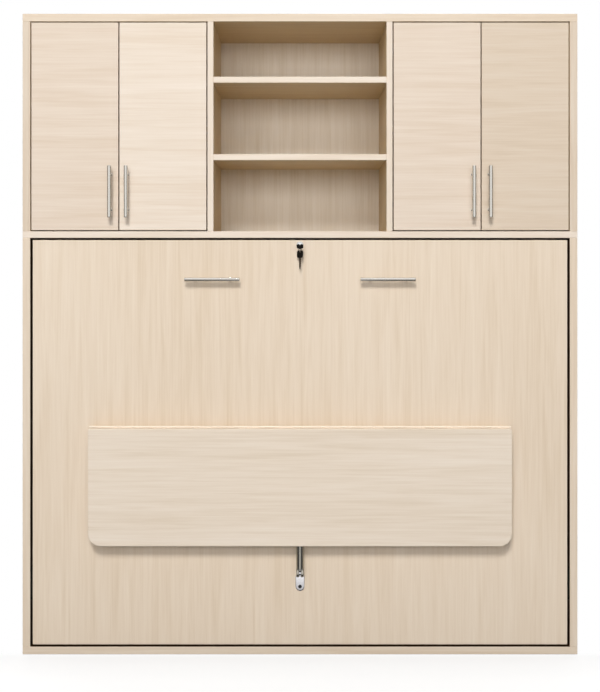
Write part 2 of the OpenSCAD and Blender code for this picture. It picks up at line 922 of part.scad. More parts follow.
// The tab that is screwed to the panel, its tongue, and the pin through the tube's fork
module strut_bracket() {
    neck_w = 20;
    hole_r = 4;
    tab_end = strut_foot - tab_l;
    tab_top = strut_foot - fork_r;
    color(steel_color) place() {
        difference() {
            union() {
                board(-tab_w / 2, tab_w / 2, -tab_t, 0, tab_end, tab_top);
                board(-neck_w / 2, neck_w / 2, -tab_t, 0, tab_end, strut_foot + fork_r);
                rod_y(0, -tab_t, 0, tab_end, tab_w / 2);
            }
            rod_y(0, -tab_t - 1, 1, tab_end, hole_r);
        }
        board(-tongue_w / 2, tongue_w / 2, -strut_depth, 0, strut_foot - tongue_r, strut_foot + tongue_r);
        rod_x(-tongue_w / 2, tongue_w / 2, -strut_depth, strut_foot, tongue_r);
        rod_x(-fork_hw, fork_hw, -strut_depth, strut_foot, stud_r);
    }
}

// The tube, whose lower end is a fork with its slot round the bracket's tongue
module strut_tube() {
    bore_from = strut_len - strut_rod_l - 10;
    slot_hw = tongue_w / 2 + face_gap;
    slot_top = tongue_r + strut_depth / 2;
    color(dark_color) place() difference() {
        union() {
            rod_z(0, -strut_depth, strut_foot, strut_foot + strut_tube_l, strut_tube_r);
            rod_x(-fork_hw, fork_hw, -strut_depth, strut_foot, fork_r);
        }
        board(-slot_hw, slot_hw, -strut_depth - strut_tube_r - 1, -strut_depth + strut_tube_r + 1,
            strut_foot - fork_r - 1, strut_foot + slot_top);
        rod_x(-fork_hw - 2, fork_hw + 2, -strut_depth, strut_foot, stud_r + running);
        rod_z(0, -strut_depth, strut_foot + bore_from, strut_foot + strut_tube_l + 1, strut_rod_r + running);
    }
}

module strut_rod() {
    color(steel_color) place() {
        rod_z(0, -strut_depth, strut_top_z - strut_rod_l, strut_top_z, strut_rod_r);
        rod_x(-strut_eye_w / 2, strut_eye_w / 2, -strut_depth, strut_top_z, strut_eye_r);
        rod_x(-strut_eye_w / 2 - 3.7, strut_eye_w / 2 + 3.7, -strut_depth, strut_top_z, stud_r);
    }
}

module strut_ears() {
    ear_in = strut_eye_w / 2 + 4;
    ear_t = 2;
    color(steel_color) both_sides() place() {
        board(ear_in, ear_in + ear_t, -leaf_back, -strut_depth + 8, strut_top_z - 14, strut_top_z + 14);
        board(ear_in, ear_in + 20, -leaf_back, -leaf_back + ear_t, strut_top_z - 14, strut_top_z + 14);
    }
}

// Legs: flat bars that hang plumb in the gap beside the panel

module leg() {
    color(dark_color) place() difference() {
        union() {
            board(leg_x, leg_x + leg_t, leg_depth - leg_w / 2, leg_depth + leg_w / 2, leg_z - leg_l, leg_z);
            rod_x(leg_x, leg_x + leg_t, leg_depth, leg_z, leg_w / 2);
        }
        rod_x(leg_x - 1, leg_x + leg_t + 1, leg_depth, leg_z, leg_stud_r + running);
    }
}

module leg_left() {
    mirrored() leg();
}

module leg_right() {
    leg();
}

// Gas springs: drawn pointing down from the upper pivot, then leaned forward to the frame

module at_lift() {
    place() translate([lift_x, lift_top_depth, lift_top_z]) rotate([-lift_lean, 0, 0]) children();
}

module lift_tube() {
    bore_from = lift_len - lift_rod_l - (lift_len - lift_len_open) - 10;
    color(dark_color) at_lift() difference() {
        union() {
            rod_z(0, 0, -lift_tube_l, -20, lift_tube_r);
            rod_z(0, 0, -21, 0, lift_rod_r);
            rod_x(-eye_w / 2, eye_w / 2, 0, 0, eye_r);
        }
        rod_x(-eye_w, eye_w, 0, 0, stud_r + running);
        rod_z(0, 0, -lift_tube_l - 1, -bore_from, lift_rod_r + running);
    }
}

module lift_rod() {
    color(steel_color) at_lift() {
        rod_z(0, 0, -lift_len, -lift_len + lift_rod_l, lift_rod_r);
        rod_x(-eye_w / 2, eye_w / 2, 0, -lift_len, eye_r);
        rod_x(-lift_room / 2 + face_gap, 0, 0, -lift_len, stud_r);
    }
}

module lift_tube_left() {
    mirrored() lift_tube();
}

module lift_tube_right() {
    lift_tube();
}

module lift_rod_left() {
    mirrored() lift_rod();
}

module lift_rod_right() {
    lift_rod();
}

top_board();
mid_board();
bottom_board();
lower_side_left();
lower_side_right();
upper_side_left();
upper_side_right();
divider_left();
divider_right();
niche_shelves();
cupboard_shelves();
shelf_supports();
upper_back_panel();
lower_back_panel();
wall_rails();
glides();
pivot_plates();
lift_brackets();
hinge_plates();
door_1();
door_2();
door_3();
door_4();
door_handle_1();
door_handle_2();
door_handle_3();
door_handle_4();
hinge_arms_1();
hinge_arms_2();
hinge_arms_3();
hinge_arms_4();
face_panel();
bed_side_rails();
bed_end_rails();
slat_bearers();
slats();
mattress();
mattress_straps();
bed_pivot_plates();
leg_studs();
bed_handles();
lock_body();
lock_plug();
lock_key();
spare_key();
desk_rail();
desk_hinge_fixed();
desk_hinge_moving();
desk_leaf();
desk_bumpers();
strut_bracket();
strut_tube();
strut_rod();
strut_ears();
leg_left();
leg_right();
lift_tube_left();
lift_tube_right();
lift_rod_left();
lift_rod_right();
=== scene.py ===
# %% [markdown]
# # A wall bed with a fold down desk
# The frame holds every board, hinge and rail of the bed at its real size, with the joints that
# move it. This lesson dresses that frame: boards get eased edges and a maple laminate, fittings
# get turned and bent metal, and the mattress gets its quilting. Lengths are metres, the front
# faces -Y, and everything is placed from the boxes of the frame's own nodes.

# %% Load the frame
import json
import math
import bpy
import bmesh
import numpy as np
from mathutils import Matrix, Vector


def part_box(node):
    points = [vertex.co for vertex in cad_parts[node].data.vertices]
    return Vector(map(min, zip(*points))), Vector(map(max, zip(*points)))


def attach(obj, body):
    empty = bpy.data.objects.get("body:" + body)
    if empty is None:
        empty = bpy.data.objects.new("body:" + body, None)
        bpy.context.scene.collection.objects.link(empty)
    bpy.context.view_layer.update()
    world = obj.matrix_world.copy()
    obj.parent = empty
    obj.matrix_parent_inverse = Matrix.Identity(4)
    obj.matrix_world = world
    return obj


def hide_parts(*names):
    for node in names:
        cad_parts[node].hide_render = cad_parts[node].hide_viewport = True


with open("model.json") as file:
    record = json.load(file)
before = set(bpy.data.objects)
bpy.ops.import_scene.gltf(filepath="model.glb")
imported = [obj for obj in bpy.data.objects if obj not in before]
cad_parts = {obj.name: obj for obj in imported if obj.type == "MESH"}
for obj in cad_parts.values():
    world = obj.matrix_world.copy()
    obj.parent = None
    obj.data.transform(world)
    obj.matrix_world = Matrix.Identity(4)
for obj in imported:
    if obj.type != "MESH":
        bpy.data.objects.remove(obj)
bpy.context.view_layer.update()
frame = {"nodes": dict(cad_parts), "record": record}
bpy.context.scene.view_settings.view_transform = "Standard"
bodies = frame["record"]["behaviour"]["bodies"]
BODY_OF = {node: body for body, nodes in bodies.items() for node in nodes}
MM = 0.001


def corners(node):
    """The lowest and highest corner of a node, as two numpy rows."""
    low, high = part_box(node)
    return np.array(low, dtype=float), np.array(high, dtype=float)


FRONT = corners("face_panel")[0][1]

# %% [markdown]
# ## Camera
# The photograph is taken square to the front, with its upright lines parallel, so the camera is
# level and its lens is shifted down. How deep the niches look gives its distance: their back
# corners stand closer together than their front corners by a share that only one distance fits.

# %% Camera
CAMERA_DISTANCE = 3.95
EYE_HEIGHT = 1.41
FRAME_CENTRE_HEIGHT = 1.1255
METRES_PER_PIXEL = 0.00364
VIEW_HEIGHT = 692 * METRES_PER_PIXEL
SENSOR_MM = 36.0

camera_data = bpy.data.cameras.new("front_camera")
camera = bpy.data.objects.new("front_camera", camera_data)
bpy.context.collection.objects.link(camera)
camera.location = (0, FRONT - CAMERA_DISTANCE, EYE_HEIGHT)
camera.rotation_euler = (math.pi / 2, 0, 0)
camera_data.sensor_width = SENSOR_MM
camera_data.lens = SENSOR_MM * CAMERA_DISTANCE / VIEW_HEIGHT
camera_data.shift_y = (FRAME_CENTRE_HEIGHT - EYE_HEIGHT) / VIEW_HEIGHT
camera_data.clip_end = 100
bpy.context.scene.camera = camera
print("lens", round(camera_data.lens, 2), "shift", round(camera_data.shift_y, 4))

# %% [markdown]
# ## Colour and node helpers
# Finishes are written as the sRGB hex a designer would read off a sample, and one function
# turns them to the linear numbers that the renderer needs. Two more add a shader node and wire
# its sockets, so that each material reads as a short recipe.


# %% Helpers for materials
def linear(hex_code):
    """An sRGB hex code as linear RGBA: each channel is undone by the sRGB curve."""
    channels = np.array([int(hex_code[i:i + 2], 16) for i in (1, 3, 5)]) / 255
    curve = np.where(channels <= 0.04045, channels / 12.92, ((channels + 0.055) / 1.055) ** 2.4)
    return (*(float(c) for c in curve), 1.0)


def wire(tree, node, **inputs):
    """Give sockets a value or a link. In a name _ stands for a space, and _2 is the third socket."""
    for name, value in inputs.items():
        key = int(name[1:]) if name[0] == "_" else name.replace("_", " ")
        if isinstance(value, bpy.types.NodeSocket):
            tree.links.new(value, node.inputs[key])
        else:
            node.inputs[key].default_value = value
    return node


def add(tree, kind, settings=None, stops=(), **inputs):
    """Add one node, "ShaderNode" and its kind. Settings are its attributes, inputs are wired as
    above, and stops are a colour ramp's pairs of place and hex."""
    node = tree.nodes.new(f"ShaderNode{kind}")
    for name, value in (settings or {}).items():
        setattr(node, name, value)
    for _ in stops[2:]:
        node.color_ramp.elements.new(0.5)
    for k, (place, hex_code) in enumerate(stops):
        node.color_ramp.elements[k].position = place
        node.color_ramp.elements[k].color = linear(hex_code)
    return wire(tree, node, **inputs)


def new_material(name):
    """An empty material with its Principled shader wired to the output."""
    material = bpy.data.materials.new(name)
    material.use_nodes = True
    tree = material.node_tree
    tree.nodes.clear()
    shader = add(tree, "BsdfPrincipled")
    add(tree, "OutputMaterial", Surface=shader.outputs["BSDF"])
    return material, tree, shader


print("middle grey in linear light", round(linear("#808080")[0], 4))

# %% [markdown]
# ## Maple laminate
# The boards are chipboard faced with a melamine sheet that is printed as maple and pressed
# against a satin plate. The real sheet has soft, broad figure some centimetres across and most
# of a metre long, with fine short streaks over it. The streaks are 1 to 2 mm on the real sheet
# and would vanish at this distance, so they are drawn about 7 mm apart. Noise stretched along
# the grain gives both, which needs no image, and an offset for each board stops the grain
# running on from one board into the next, as it does not on a real cabinet.

# %% Maple laminate
# Each noise's size across the grain and along it.
FIGURE_MM, STREAK_MM, CLOUD_MM = (28, 620), (7, 240), (520, 1040)
STREAK_WEIGHT, CLOUD_WEIGHT = 0.70, 0.40
# Each noise averages one half, so this is the middle of the weighted sum.
GRAIN_MIDDLE = (1 + STREAK_WEIGHT + CLOUD_WEIGHT) / 2
GRAIN_HALF_SPAN = 0.75
SATIN_ROUGHNESS = (0.40, 0.54)
AXES = {"x": 0, "y": 1, "z": 2}
TIMES_PLUS = {"operation": "MULTIPLY_ADD"}


def laminate(name, along, light, body, shade, offset=0.0, contrast=1.45, shine=0.5):
    """Printed maple on Object coordinates: broad figure, fine streaks and a slow drift of tone."""
    material, tree, shader = new_material(name)
    place = add(tree, "TexCoord").outputs["Object"]

    def grain(size_mm, shift, detail, rough, distort):
        scale = [1000 / size_mm[0]] * 3
        scale[AXES[along]] = 1000 / size_mm[1]
        mapped = add(tree, "Mapping", Vector=place, Scale=scale,
                     Location=[offset * 7.3 + shift, offset * 3.1 + shift, offset * 5.7 - shift])
        return add(tree, "TexNoise", Vector=mapped.outputs["Vector"], Scale=1.0,
                   Detail=detail, Roughness=rough, Distortion=distort).outputs["Fac"]

    figure = grain(FIGURE_MM, shift=0.0, detail=4.0, rough=0.55, distort=0.8)
    streak = grain(STREAK_MM, shift=11.0, detail=2.0, rough=0.6, distort=0.0)
    cloud = grain(CLOUD_MM, shift=23.0, detail=1.0, rough=0.5, distort=0.0)
    total = figure
    for noise, weight in ((streak, STREAK_WEIGHT), (cloud, CLOUD_WEIGHT)):
        total = add(tree, "Math", TIMES_PLUS, _0=noise, _1=weight, _2=total).outputs[0]
    half_span = GRAIN_HALF_SPAN / contrast
    centred = add(tree, "MapRange", Value=total, From_Min=GRAIN_MIDDLE - half_span,
                  From_Max=GRAIN_MIDDLE + half_span).outputs["Result"]
    rough = add(tree, "MapRange", Value=streak, To_Min=SATIN_ROUGHNESS[0],
                To_Max=SATIN_ROUGHNESS[1])
    bump = add(tree, "Bump", Height=streak, Strength=0.05, Distance=0.0004)
    tone = add(tree, "ValToRGB", stops=[(0.0, light), (0.5, body), (1.0, shade)], Fac=centred)
    wire(tree, shader, Base_Color=tone.outputs["Color"], Roughness=rough.outputs["Result"],
         Normal=bump.outputs["Normal"], Specular_IOR_Level=shine)
    return material


print("figure, streaks and drift in mm", FIGURE_MM, STREAK_MM, CLOUD_MM)

# %% [markdown]
# The tones are judged from the photograph's boards: doors a little rosier, the tall panel and the
# sides a little yellower. The first and third doors are a little darker, and the cupboards' sides
# and the last door darker still, as painted shade. The facing of the bed's bay is painted shade:
# nearly black, as the gaps are. Each row is the light, body and dark tone.

# %% Tones of the maple
DOOR_TONES = ("#F0E3D5", "#E8D9C8", "#DDC9B3")
# Painted shade: the same maple made a little darker for the first and third doors.
DOOR_TONES_PAINTED_SHADE = ("#EADCCC", "#E1D0BE", "#D6C1AA")
PANEL_TONES = ("#EFE0CD", "#E5D3BD", "#D6C0A4")
BOARD_TONES = ("#EADCCA", "#E1CFB9", "#D3BDA3")
# Painted light: the niches' backs are made lighter than any other maple.
NICHE_BACK_PAINTED_LIGHT = ("#FAF2E7", "#F0E6D8", "#E1D4C0")
# Painted shade: the same maple made darker for the cupboards' sides and the last door.
PAINTED_SHADE_DARKER_TONES = ("#E1D4C3", "#D9C7B2", "#CBB69D")
# Painted shade: the faces into the niches and cupboards, darker and more saturated than the fronts.
NICHE_PAINTED_SHADE_TONES = ("#DCC8A2", "#D2BB95", "#C4A982")
# Painted shade: the faces into the bed's bay, nearly black as the gaps are.
PAINTED_SHADE_BAY = ("#3E240E", "#301B09", "#241406")
print("door tones", DOOR_TONES)

# %% [markdown]
# ## Metals, plastic and cloth
# Metal shows its finish by how sharply it mirrors, so noise moves the roughness and hardly the
# tone. The handles are steel bar plated with satin nickel and brushed round the bar, which
# widens the highlight. Hinges and plates are bright zinc, a little blotchy from the bath. The
# strut's tube is plated in a darker, smoked nickel, its tab is polished steel, and the lock is
# chromed. The spare key's blade and ring are plain steel, dark and brownish.


# %% Metals
BRUSH_ACROSS_MM, BRUSH_ALONG_MM = 0.8, 30
DULLED = 0.88


def metal(name, tone, roughness, blotch_mm, blotch=0.06, brushed=None):
    """Bare or plated metal: the roughness drifts over blotch_mm, and brushing adds fine lines."""
    material, tree, shader = new_material(name)
    place = add(tree, "TexCoord").outputs["Object"]
    scale = [1000 / blotch_mm] * 3
    if brushed:
        scale = [1000 / BRUSH_ACROSS_MM] * 3
        scale[AXES[brushed]] = 1000 / BRUSH_ALONG_MM
    mapped = add(tree, "Mapping", Vector=place, Scale=scale).outputs["Vector"]
    noise = add(tree, "TexNoise", Vector=mapped, Scale=1.0, Detail=3.0).outputs["Fac"]
    rough = add(tree, "MapRange", Value=noise, To_Min=roughness - blotch,
                To_Max=roughness + blotch)
    full = linear(tone)
    dull = tuple(DULLED * c for c in full[:3]) + (1,)
    colour = add(tree, "Mix", {"data_type": "RGBA"}, Factor=noise, _6=dull, _7=full)
    bump = add(tree, "Bump", Height=noise, Strength=0.08, Distance=0.0002)
    wire(tree, shader, Base_Color=colour.outputs[2], Roughness=rough.outputs["Result"],
         Normal=bump.outputs["Normal"], Metallic=1.0)
    return material


SATIN_NICKEL_UPRIGHT = metal("satin_nickel_upright", "#E6E2DA", 0.13, 6, 0.04, "x")
SATIN_NICKEL_LEVEL = metal("satin_nickel_level", "#E6E2DA", 0.13, 6, 0.04, "z")
CHROME = metal("polished_chrome", "#F2F1EE", 0.12, 9, blotch=0.03)
ZINC = metal("bright_zinc_plate", "#BFC2C6", 0.34, 14)
TAB_STEEL = metal("polished_steel_tab", "#F4F2F4", 0.14, 10)
SMOKED_NICKEL = metal("smoked_nickel_plate", "#B9B4AA", 0.17, 12)
BLADE_STEEL = metal("key_blade_steel", "#6A5A48", 0.35, 5)
WIRE_STEEL = metal("key_ring_wire", "#5E564B", 0.45, 4)
print("materials, with the frame's own", len(bpy.data.materials))

# %% [markdown]
# Legs, gas springs and the bed's pivot plates are black enamel, whose only mark is a slight
# orange peel, and the keys have moulded black bows. The tab's screw is blackened steel. The
# desk's hinge is lit from above, and its pale ivory colour is painted highlight, so it shows as a
# pale line over the leaf. The mattress has a woven cotton ticking and nylon webbing over it, and
# the bed's own frame is planed softwood.

# %% Paint, plastic and cloth
WAVE_RADIANS = 20


def coating(name, low, high, roughness, grit_mm, strength, shine=0.5):
    """Paint, moulded plastic or rubber: two close tones and a bump of the surface's own grit."""
    material, tree, shader = new_material(name)
    place = add(tree, "TexCoord").outputs["Object"]
    noise = add(tree, "TexNoise", Vector=place, Scale=1000 / grit_mm,
                Detail=2.0).outputs["Fac"]
    bump = add(tree, "Bump", Height=noise, Strength=strength, Distance=0.0003)
    tone = add(tree, "ValToRGB", stops=[(0.3, low), (0.7, high)], Fac=noise)
    wire(tree, shader, Base_Color=tone.outputs["Color"], Roughness=roughness,
         Normal=bump.outputs["Normal"], Specular_IOR_Level=shine)
    return material


def woven(name, warp, weft, radian_mm, roughness, sheen=0.2):
    """Plain weave: two crossed waves pick the tone and lift the threads. The wave texture turns 20
    radians in a unit, so a whole wave is two pi times radian_mm wide: a bundle of threads, because
    one thread would be too fine to show."""
    material, tree, shader = new_material(name)
    place = add(tree, "TexCoord").outputs["Object"]
    waves = []
    for direction in ("X", "Z"):
        wave = add(tree, "TexWave", {"bands_direction": direction}, Vector=place,
                   Scale=1000 / radian_mm / WAVE_RADIANS, Distortion=0.4, Detail=1.0)
        waves.append(wave.outputs["Fac"])
    cross = add(tree, "Math", {"operation": "MULTIPLY"}, _0=waves[0], _1=waves[1]).outputs[0]
    bump = add(tree, "Bump", Height=cross, Strength=0.3, Distance=0.0006)
    tone = add(tree, "ValToRGB", stops=[(0.1, weft), (0.7, warp)], Fac=cross)
    wire(tree, shader, Base_Color=tone.outputs["Color"], Roughness=roughness,
         Normal=bump.outputs["Normal"], Sheen_Weight=sheen)
    return material


BLACK_ENAMEL = coating("black_enamel", "#15140F", "#1E1D18", 0.25, 2.5, 0.03)
BLACK_PLASTIC = coating("moulded_black_plastic", "#0E0B08", "#15110D", 0.62, 0.8, 0.15, 0.2)
BLACK_OXIDE = coating("black_oxide_steel", "#19191B", "#26262A", 0.35, 1.0, 0.10)
# Painted highlight: the hinge is made pale ivory, so it shows as a pale line over the leaf.
HINGE_PAINTED_HIGHLIGHT = coating("hinge_ivory_painted_highlight", "#F7EAD9", "#F1E2CE", 0.42, 1.2, 0.15)
TICKING = woven("cotton_ticking", "#F1EEE7", "#DFDAD0", 2.5, 0.85)
WEBBING = woven("nylon_webbing", "#2B2D31", "#1A1B1E", 3.0, 0.7, 0.3)
TIMBER = laminate("planed_softwood", "x", "#DDBE92", "#CFA878", "#B98D5B", 2.0)
TIMBER_UPRIGHT = laminate("planed_softwood_upright", "z", "#DDBE92", "#CFA878", "#B98D5B", 4.0)
print("materials by now", len(bpy.data.materials))

# %% [markdown]
# ## Surfaces worked out as arrays
# Every new piece is a stack of rings: an outline or a circle, carried along an axis and grown or
# shrunk on the way. `loft` turns such a stack into a closed mesh, and `closed_tube` joins one
# whose last ring meets its first. Worked out so, a piece needs no modifier to be applied.


# %% Rings into meshes
def loft(rings):
    """Quads between each ring and the next, with a flat face on both ends. Rings: (m, n, 3)."""
    m, n, _ = rings.shape
    index = np.arange(m * n).reshape(m, n)
    here, there = index[:-1], index[1:]
    quads = np.stack([here, np.roll(here, -1, 1), np.roll(there, -1, 1), there], -1).reshape(-1, 4)
    faces = [tuple(q) for q in quads.tolist()]
    faces += [tuple(index[0][::-1].tolist()), tuple(index[-1].tolist())]
    return rings.reshape(-1, 3), faces


def closed_tube(points):
    """A tube that meets itself: points (around, sides, 3), with quads between all neighbours."""
    around, sides, _ = points.shape
    index = np.arange(around * sides).reshape(around, sides)
    ahead = np.roll(index, -1, 0)
    quads = np.stack([index, ahead, np.roll(ahead, -1, 1), np.roll(index, -1, 1)], -1).reshape(-1, 4)
    return points.reshape(-1, 3), [tuple(q) for q in quads.tolist()]


print("2 rings of 4 points make", len(loft(np.zeros((2, 4, 3)))[1]), "faces")

# %% [markdown]
# A board is an outline carried through its thickness, and a turned piece is a circle carried
# along its axis. Both get their sharp edges rounded over by a quarter circle, as an edge band's
# trimmer or a lathe leaves them.

# %% Boards and turned pieces
RING_SIDES = 40


def rounded_outline(low, high, radii, inset, steps):
    """A rectangle with four round corners, drawn in by inset: each corner is a quarter circle of
    radius minus inset about a centre that stays put, anticlockwise from the right top."""
    centres = [(high[0], high[1], -1, -1), (low[0], high[1], 1, -1),
               (low[0], low[1], 1, 1), (high[0], low[1], -1, 1)]
    points = []
    for k, ((cx, cz, sx, sz), radius) in enumerate(zip(centres, radii)):
        angle = np.linspace(0, math.pi / 2, steps) + k * math.pi / 2
        r = max(radius - inset, 1e-5)
        middle = np.array([cx + sx * radius, cz + sz * radius])
        points.append(middle + r * np.stack([np.cos(angle), np.sin(angle)], -1))
    return np.concatenate(points)


def slab(low, high, axis="y", ease=0.0012, radii=None, steps=6):
    """A board lying between two corners: its outline runs along axis, and the first and last
    millimetres of the run draw in along a quarter circle, which eases both faces' edges."""
    c = AXES[axis]
    a, b = [k for k in range(3) if k != c]
    radii = [max(r, ease + 2e-5) for r in (radii or [ease * 1.3] * 4)]
    turn = np.linspace(0, math.pi / 2, 5)
    inset = ease * (1 - np.sin(turn))
    depth = ease * (1 - np.cos(turn))
    runs = list(zip(inset, low[c] + depth)) + list(zip(inset[::-1], high[c] - depth[::-1]))
    rings = np.zeros((len(runs), 4 * steps, 3))
    for k, (draw, place) in enumerate(runs):
        outline = rounded_outline((low[a], low[b]), (high[a], high[b]), radii, draw, steps)
        rings[k, :, a], rings[k, :, b], rings[k, :, c] = outline[:, 0], outline[:, 1], place
    # One more ring just inside each flat face keeps the round edge from shading the whole face.
    inner = rings[[0, -1]].copy()
    for k in (a, b):
        middle = (low[k] + high[k]) / 2
        inner[:, :, k] = middle + (inner[:, :, k] - middle) * (1 - 4 * ease / (high[k] - low[k]))
    return loft(np.concatenate([inner[:1], rings, inner[1:]]))


def turned(profile, centre, axis):
    """A turned piece: each (distance along the axis, radius) pair of the profile is one circle."""
    profile = np.array(profile, dtype=float)
    c = AXES[axis]
    a, b = [k for k in range(3) if k != c]
    angle = np.linspace(0, 2 * math.pi, RING_SIDES, endpoint=False)
    rings = np.zeros((len(profile), RING_SIDES, 3))
    rings[:, :, a] = centre[a] + profile[:, 1:2] * np.cos(angle)
    rings[:, :, b] = centre[b] + profile[:, 1:2] * np.sin(angle)
    rings[:, :, c] = centre[c] + profile[:, 0:1]
    return loft(rings)


def rod_profile(start, end, radius, ease=0.001):
    """The profile of a plain rod whose two ends are rounded over by ease, then straight between."""
    turn = np.linspace(0, math.pi / 2, 5)
    draw = np.append(radius - ease * (1 - np.sin(turn)), radius)
    run = np.append(ease * (1 - np.cos(turn)), 2 * ease)
    return list(zip(start + run, draw)) + list(zip(end - run[::-1], draw[::-1]))


print("points of a plain board", len(slab((0, 0, 0), (1, 1, 1))[0]))

# %% [markdown]
# A finished piece is one or more of these surfaces in one mesh. It is made where it belongs, in
# the frame's own coordinates, so it is only told its finish, what it rides and what it stands for.


# %% Pieces that ride
def face_outwards(mesh):
    """Turn every face of a closed mesh to look outwards."""
    shaped = bmesh.new()
    shaped.from_mesh(mesh)
    bmesh.ops.recalc_face_normals(shaped, faces=shaped.faces)
    shaped.to_mesh(mesh)
    shaped.free()


def piece(name, surfaces, material, node=None, body=None, smooth=35):
    """Join surfaces into one mesh at the origin, turn its faces outwards, and let it ride."""
    mesh = bpy.data.meshes.new(name)
    points, faces, start = [], [], 0
    for verts, polys in surfaces:
        points.append(verts)
        faces += [tuple(i + start for i in poly) for poly in polys]
        start += len(verts)
    mesh.from_pydata(np.concatenate(points).tolist(), [], faces)
    face_outwards(mesh)
    mesh.materials.append(material)
    mesh.shade_smooth()
    mesh.set_sharp_from_angle(angle=math.radians(smooth))
    made = bpy.data.objects.new(name, mesh)
    bpy.context.collection.objects.link(made)
    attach(made, body or BODY_OF[node])
    if node:
        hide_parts(node)
    return made


print("bodies to ride", len(bodies))

# %% [markdown]
# ## Boards of the carcase
# Each board is sawn from a sheet and edged with a thin strip whose corner is eased by about a
# millimetre. That small round is what catches a line of light along every edge in the
# photograph, so each board is lofted with it, in place of the frame's sharp box. The grain runs
# along the length of a board.

# %% Carcase boards
BOARDS = {
    "top_board": ("x", BOARD_TONES), "mid_board": ("x", DOOR_TONES), "bottom_board": ("x", BOARD_TONES),
    "lower_side_left": ("z", BOARD_TONES), "lower_side_right": ("z", BOARD_TONES),
    # The cupboards' sides take the darker tones, as painted shade.
    "upper_side_left": ("z", PAINTED_SHADE_DARKER_TONES), "upper_side_right": ("z", PAINTED_SHADE_DARKER_TONES),
    "divider_left": ("z", DOOR_TONES), "divider_right": ("z", DOOR_TONES),
}
EDGE_EASE = 1.2 * MM
for number, (node, (along, tones)) in enumerate(BOARDS.items()):
    low, high = corners(node)
    finish = laminate(f"maple_laminate_{node}", along, *tones, offset=number + 1.0)
    piece(f"{node}_eased", [slab(low, high, "y", EDGE_EASE)], finish, node)

niche_low, niche_high = corners("niche_shelves")
SHELF_T = 22 * MM
shelf_finish = laminate("maple_laminate_shelves", "x", "#F2E6D8", "#EADBC9", "#DDCAB4", offset=12.0)
shelf_levels = [(niche_low[2], niche_low[2] + SHELF_T), (niche_high[2] - SHELF_T, niche_high[2])]
shelves = [slab((niche_low[0], niche_low[1], z0), (niche_high[0], niche_high[1], z1), "y", EDGE_EASE)
           for z0, z1 in shelf_levels]
piece("niche_shelves_eased", shelves, shelf_finish, "niche_shelves")
print("eased boards", len(BOARDS), "and shelves", len(shelves))

# %% [markdown]
# Each board's own faces differ: its front is an edge strip, the faces into the niches and the
# cupboards are darker as painted shade, and those into the bed's bay are nearly black, painted shade.

# %% Faces into the niches and the bay
# The niches' backs are lighter than the other boards: painted light.
painted_light_niche_back = laminate("maple_backs_painted_light", "z", *NICHE_BACK_PAINTED_LIGHT, offset=14.0)
# The faces into the niches and cupboards take the darker tones: painted shade.
painted_niche_shade_level = laminate("maple_inside_level", "x", *NICHE_PAINTED_SHADE_TONES, offset=18.0)
painted_niche_shade_upright = laminate("maple_inside_upright", "z", *NICHE_PAINTED_SHADE_TONES, offset=19.0)
# The bay's faces are nearly black: painted shade.
painted_shade_bay_facing = laminate("bay_painted_shade", "z", *PAINTED_SHADE_BAY, offset=17.0, shine=0.15)
LEFTWARD, RIGHTWARD, DOWNWARD, UPWARD = (-1, 0, 0), (1, 0, 0), (0, 0, -1), (0, 0, 1)
INWARD = {
    "lower_side_left": (painted_shade_bay_facing, RIGHTWARD), "lower_side_right": (painted_shade_bay_facing, LEFTWARD),
    "bottom_board": (painted_shade_bay_facing, UPWARD), "top_board": (painted_niche_shade_level, DOWNWARD),
    "mid_board": (painted_niche_shade_level, UPWARD), "niche_shelves": (painted_niche_shade_level, UPWARD, DOWNWARD),
    "upper_side_left": (painted_niche_shade_upright, RIGHTWARD), "upper_side_right": (painted_niche_shade_upright, LEFTWARD),
    "divider_left": (painted_niche_shade_upright, LEFTWARD, RIGHTWARD),
    "divider_right": (painted_niche_shade_upright, LEFTWARD, RIGHTWARD),
}
LOOKS_ALONG = 0.9


def finish_faces(mesh, finish, directions):
    """Give a second material to the faces that look along any of the directions: those whose
    normal has a cosine above LOOKS_ALONG with it."""
    mesh.materials.append(finish)
    normals = np.array([face.normal for face in mesh.polygons])
    chosen = np.max(normals @ np.array(directions).T, axis=1) > LOOKS_ALONG
    mesh.polygons.foreach_set("material_index", chosen.astype(np.int32))


for node, (finish, *directions) in INWARD.items():
    finish_faces(bpy.data.objects[f"{node}_eased"].data, finish, directions)
print("boards with a second finish", len(INWARD))

# %% [markdown]
# The lock's cam swings up into a pocket in the underside of the board above the bed. It is
# routed there on the real board, so here a block is cut from the eased one.

# %% Pocket for the cam
CAM_T, CAM_W, POCKET_ROOM = 3 * MM, 16 * MM, 2 * MM
BELOW_BOARD, ABOVE_CAM, POCKET_EASE = 1 * MM, 3 * MM, 0.3 * MM
plug_low, plug_high = corners("lock_plug")
plug_z = (plug_low[2] + plug_high[2]) / 2
board_under = corners("mid_board")[0][2]
pocket_low = (-CAM_W / 2 - POCKET_ROOM, plug_high[1] - CAM_T - POCKET_ROOM, board_under - BELOW_BOARD)
pocket_high = (plug_high[0], plug_high[1] + POCKET_ROOM, plug_z + plug_high[0] + ABOVE_CAM)
cutter_mesh = bpy.data.meshes.new("pocket_cutter")
cutter_points, cutter_faces = slab(pocket_low, pocket_high, "y", POCKET_EASE)
cutter_mesh.from_pydata(cutter_points.tolist(), [], cutter_faces)
face_outwards(cutter_mesh)
cutter = bpy.data.objects.new("pocket_cutter", cutter_mesh)
bpy.context.collection.objects.link(cutter)
routed = bpy.data.objects["mid_board_eased"]
cut = routed.modifiers.new("cam_pocket", "BOOLEAN")
cut.operation, cut.solver, cut.object = "DIFFERENCE", "EXACT", cutter
bpy.context.view_layer.update()
evaluated = routed.evaluated_get(bpy.context.evaluated_depsgraph_get())
cut_mesh = bpy.data.meshes.new_from_object(evaluated)
routed.modifiers.clear()
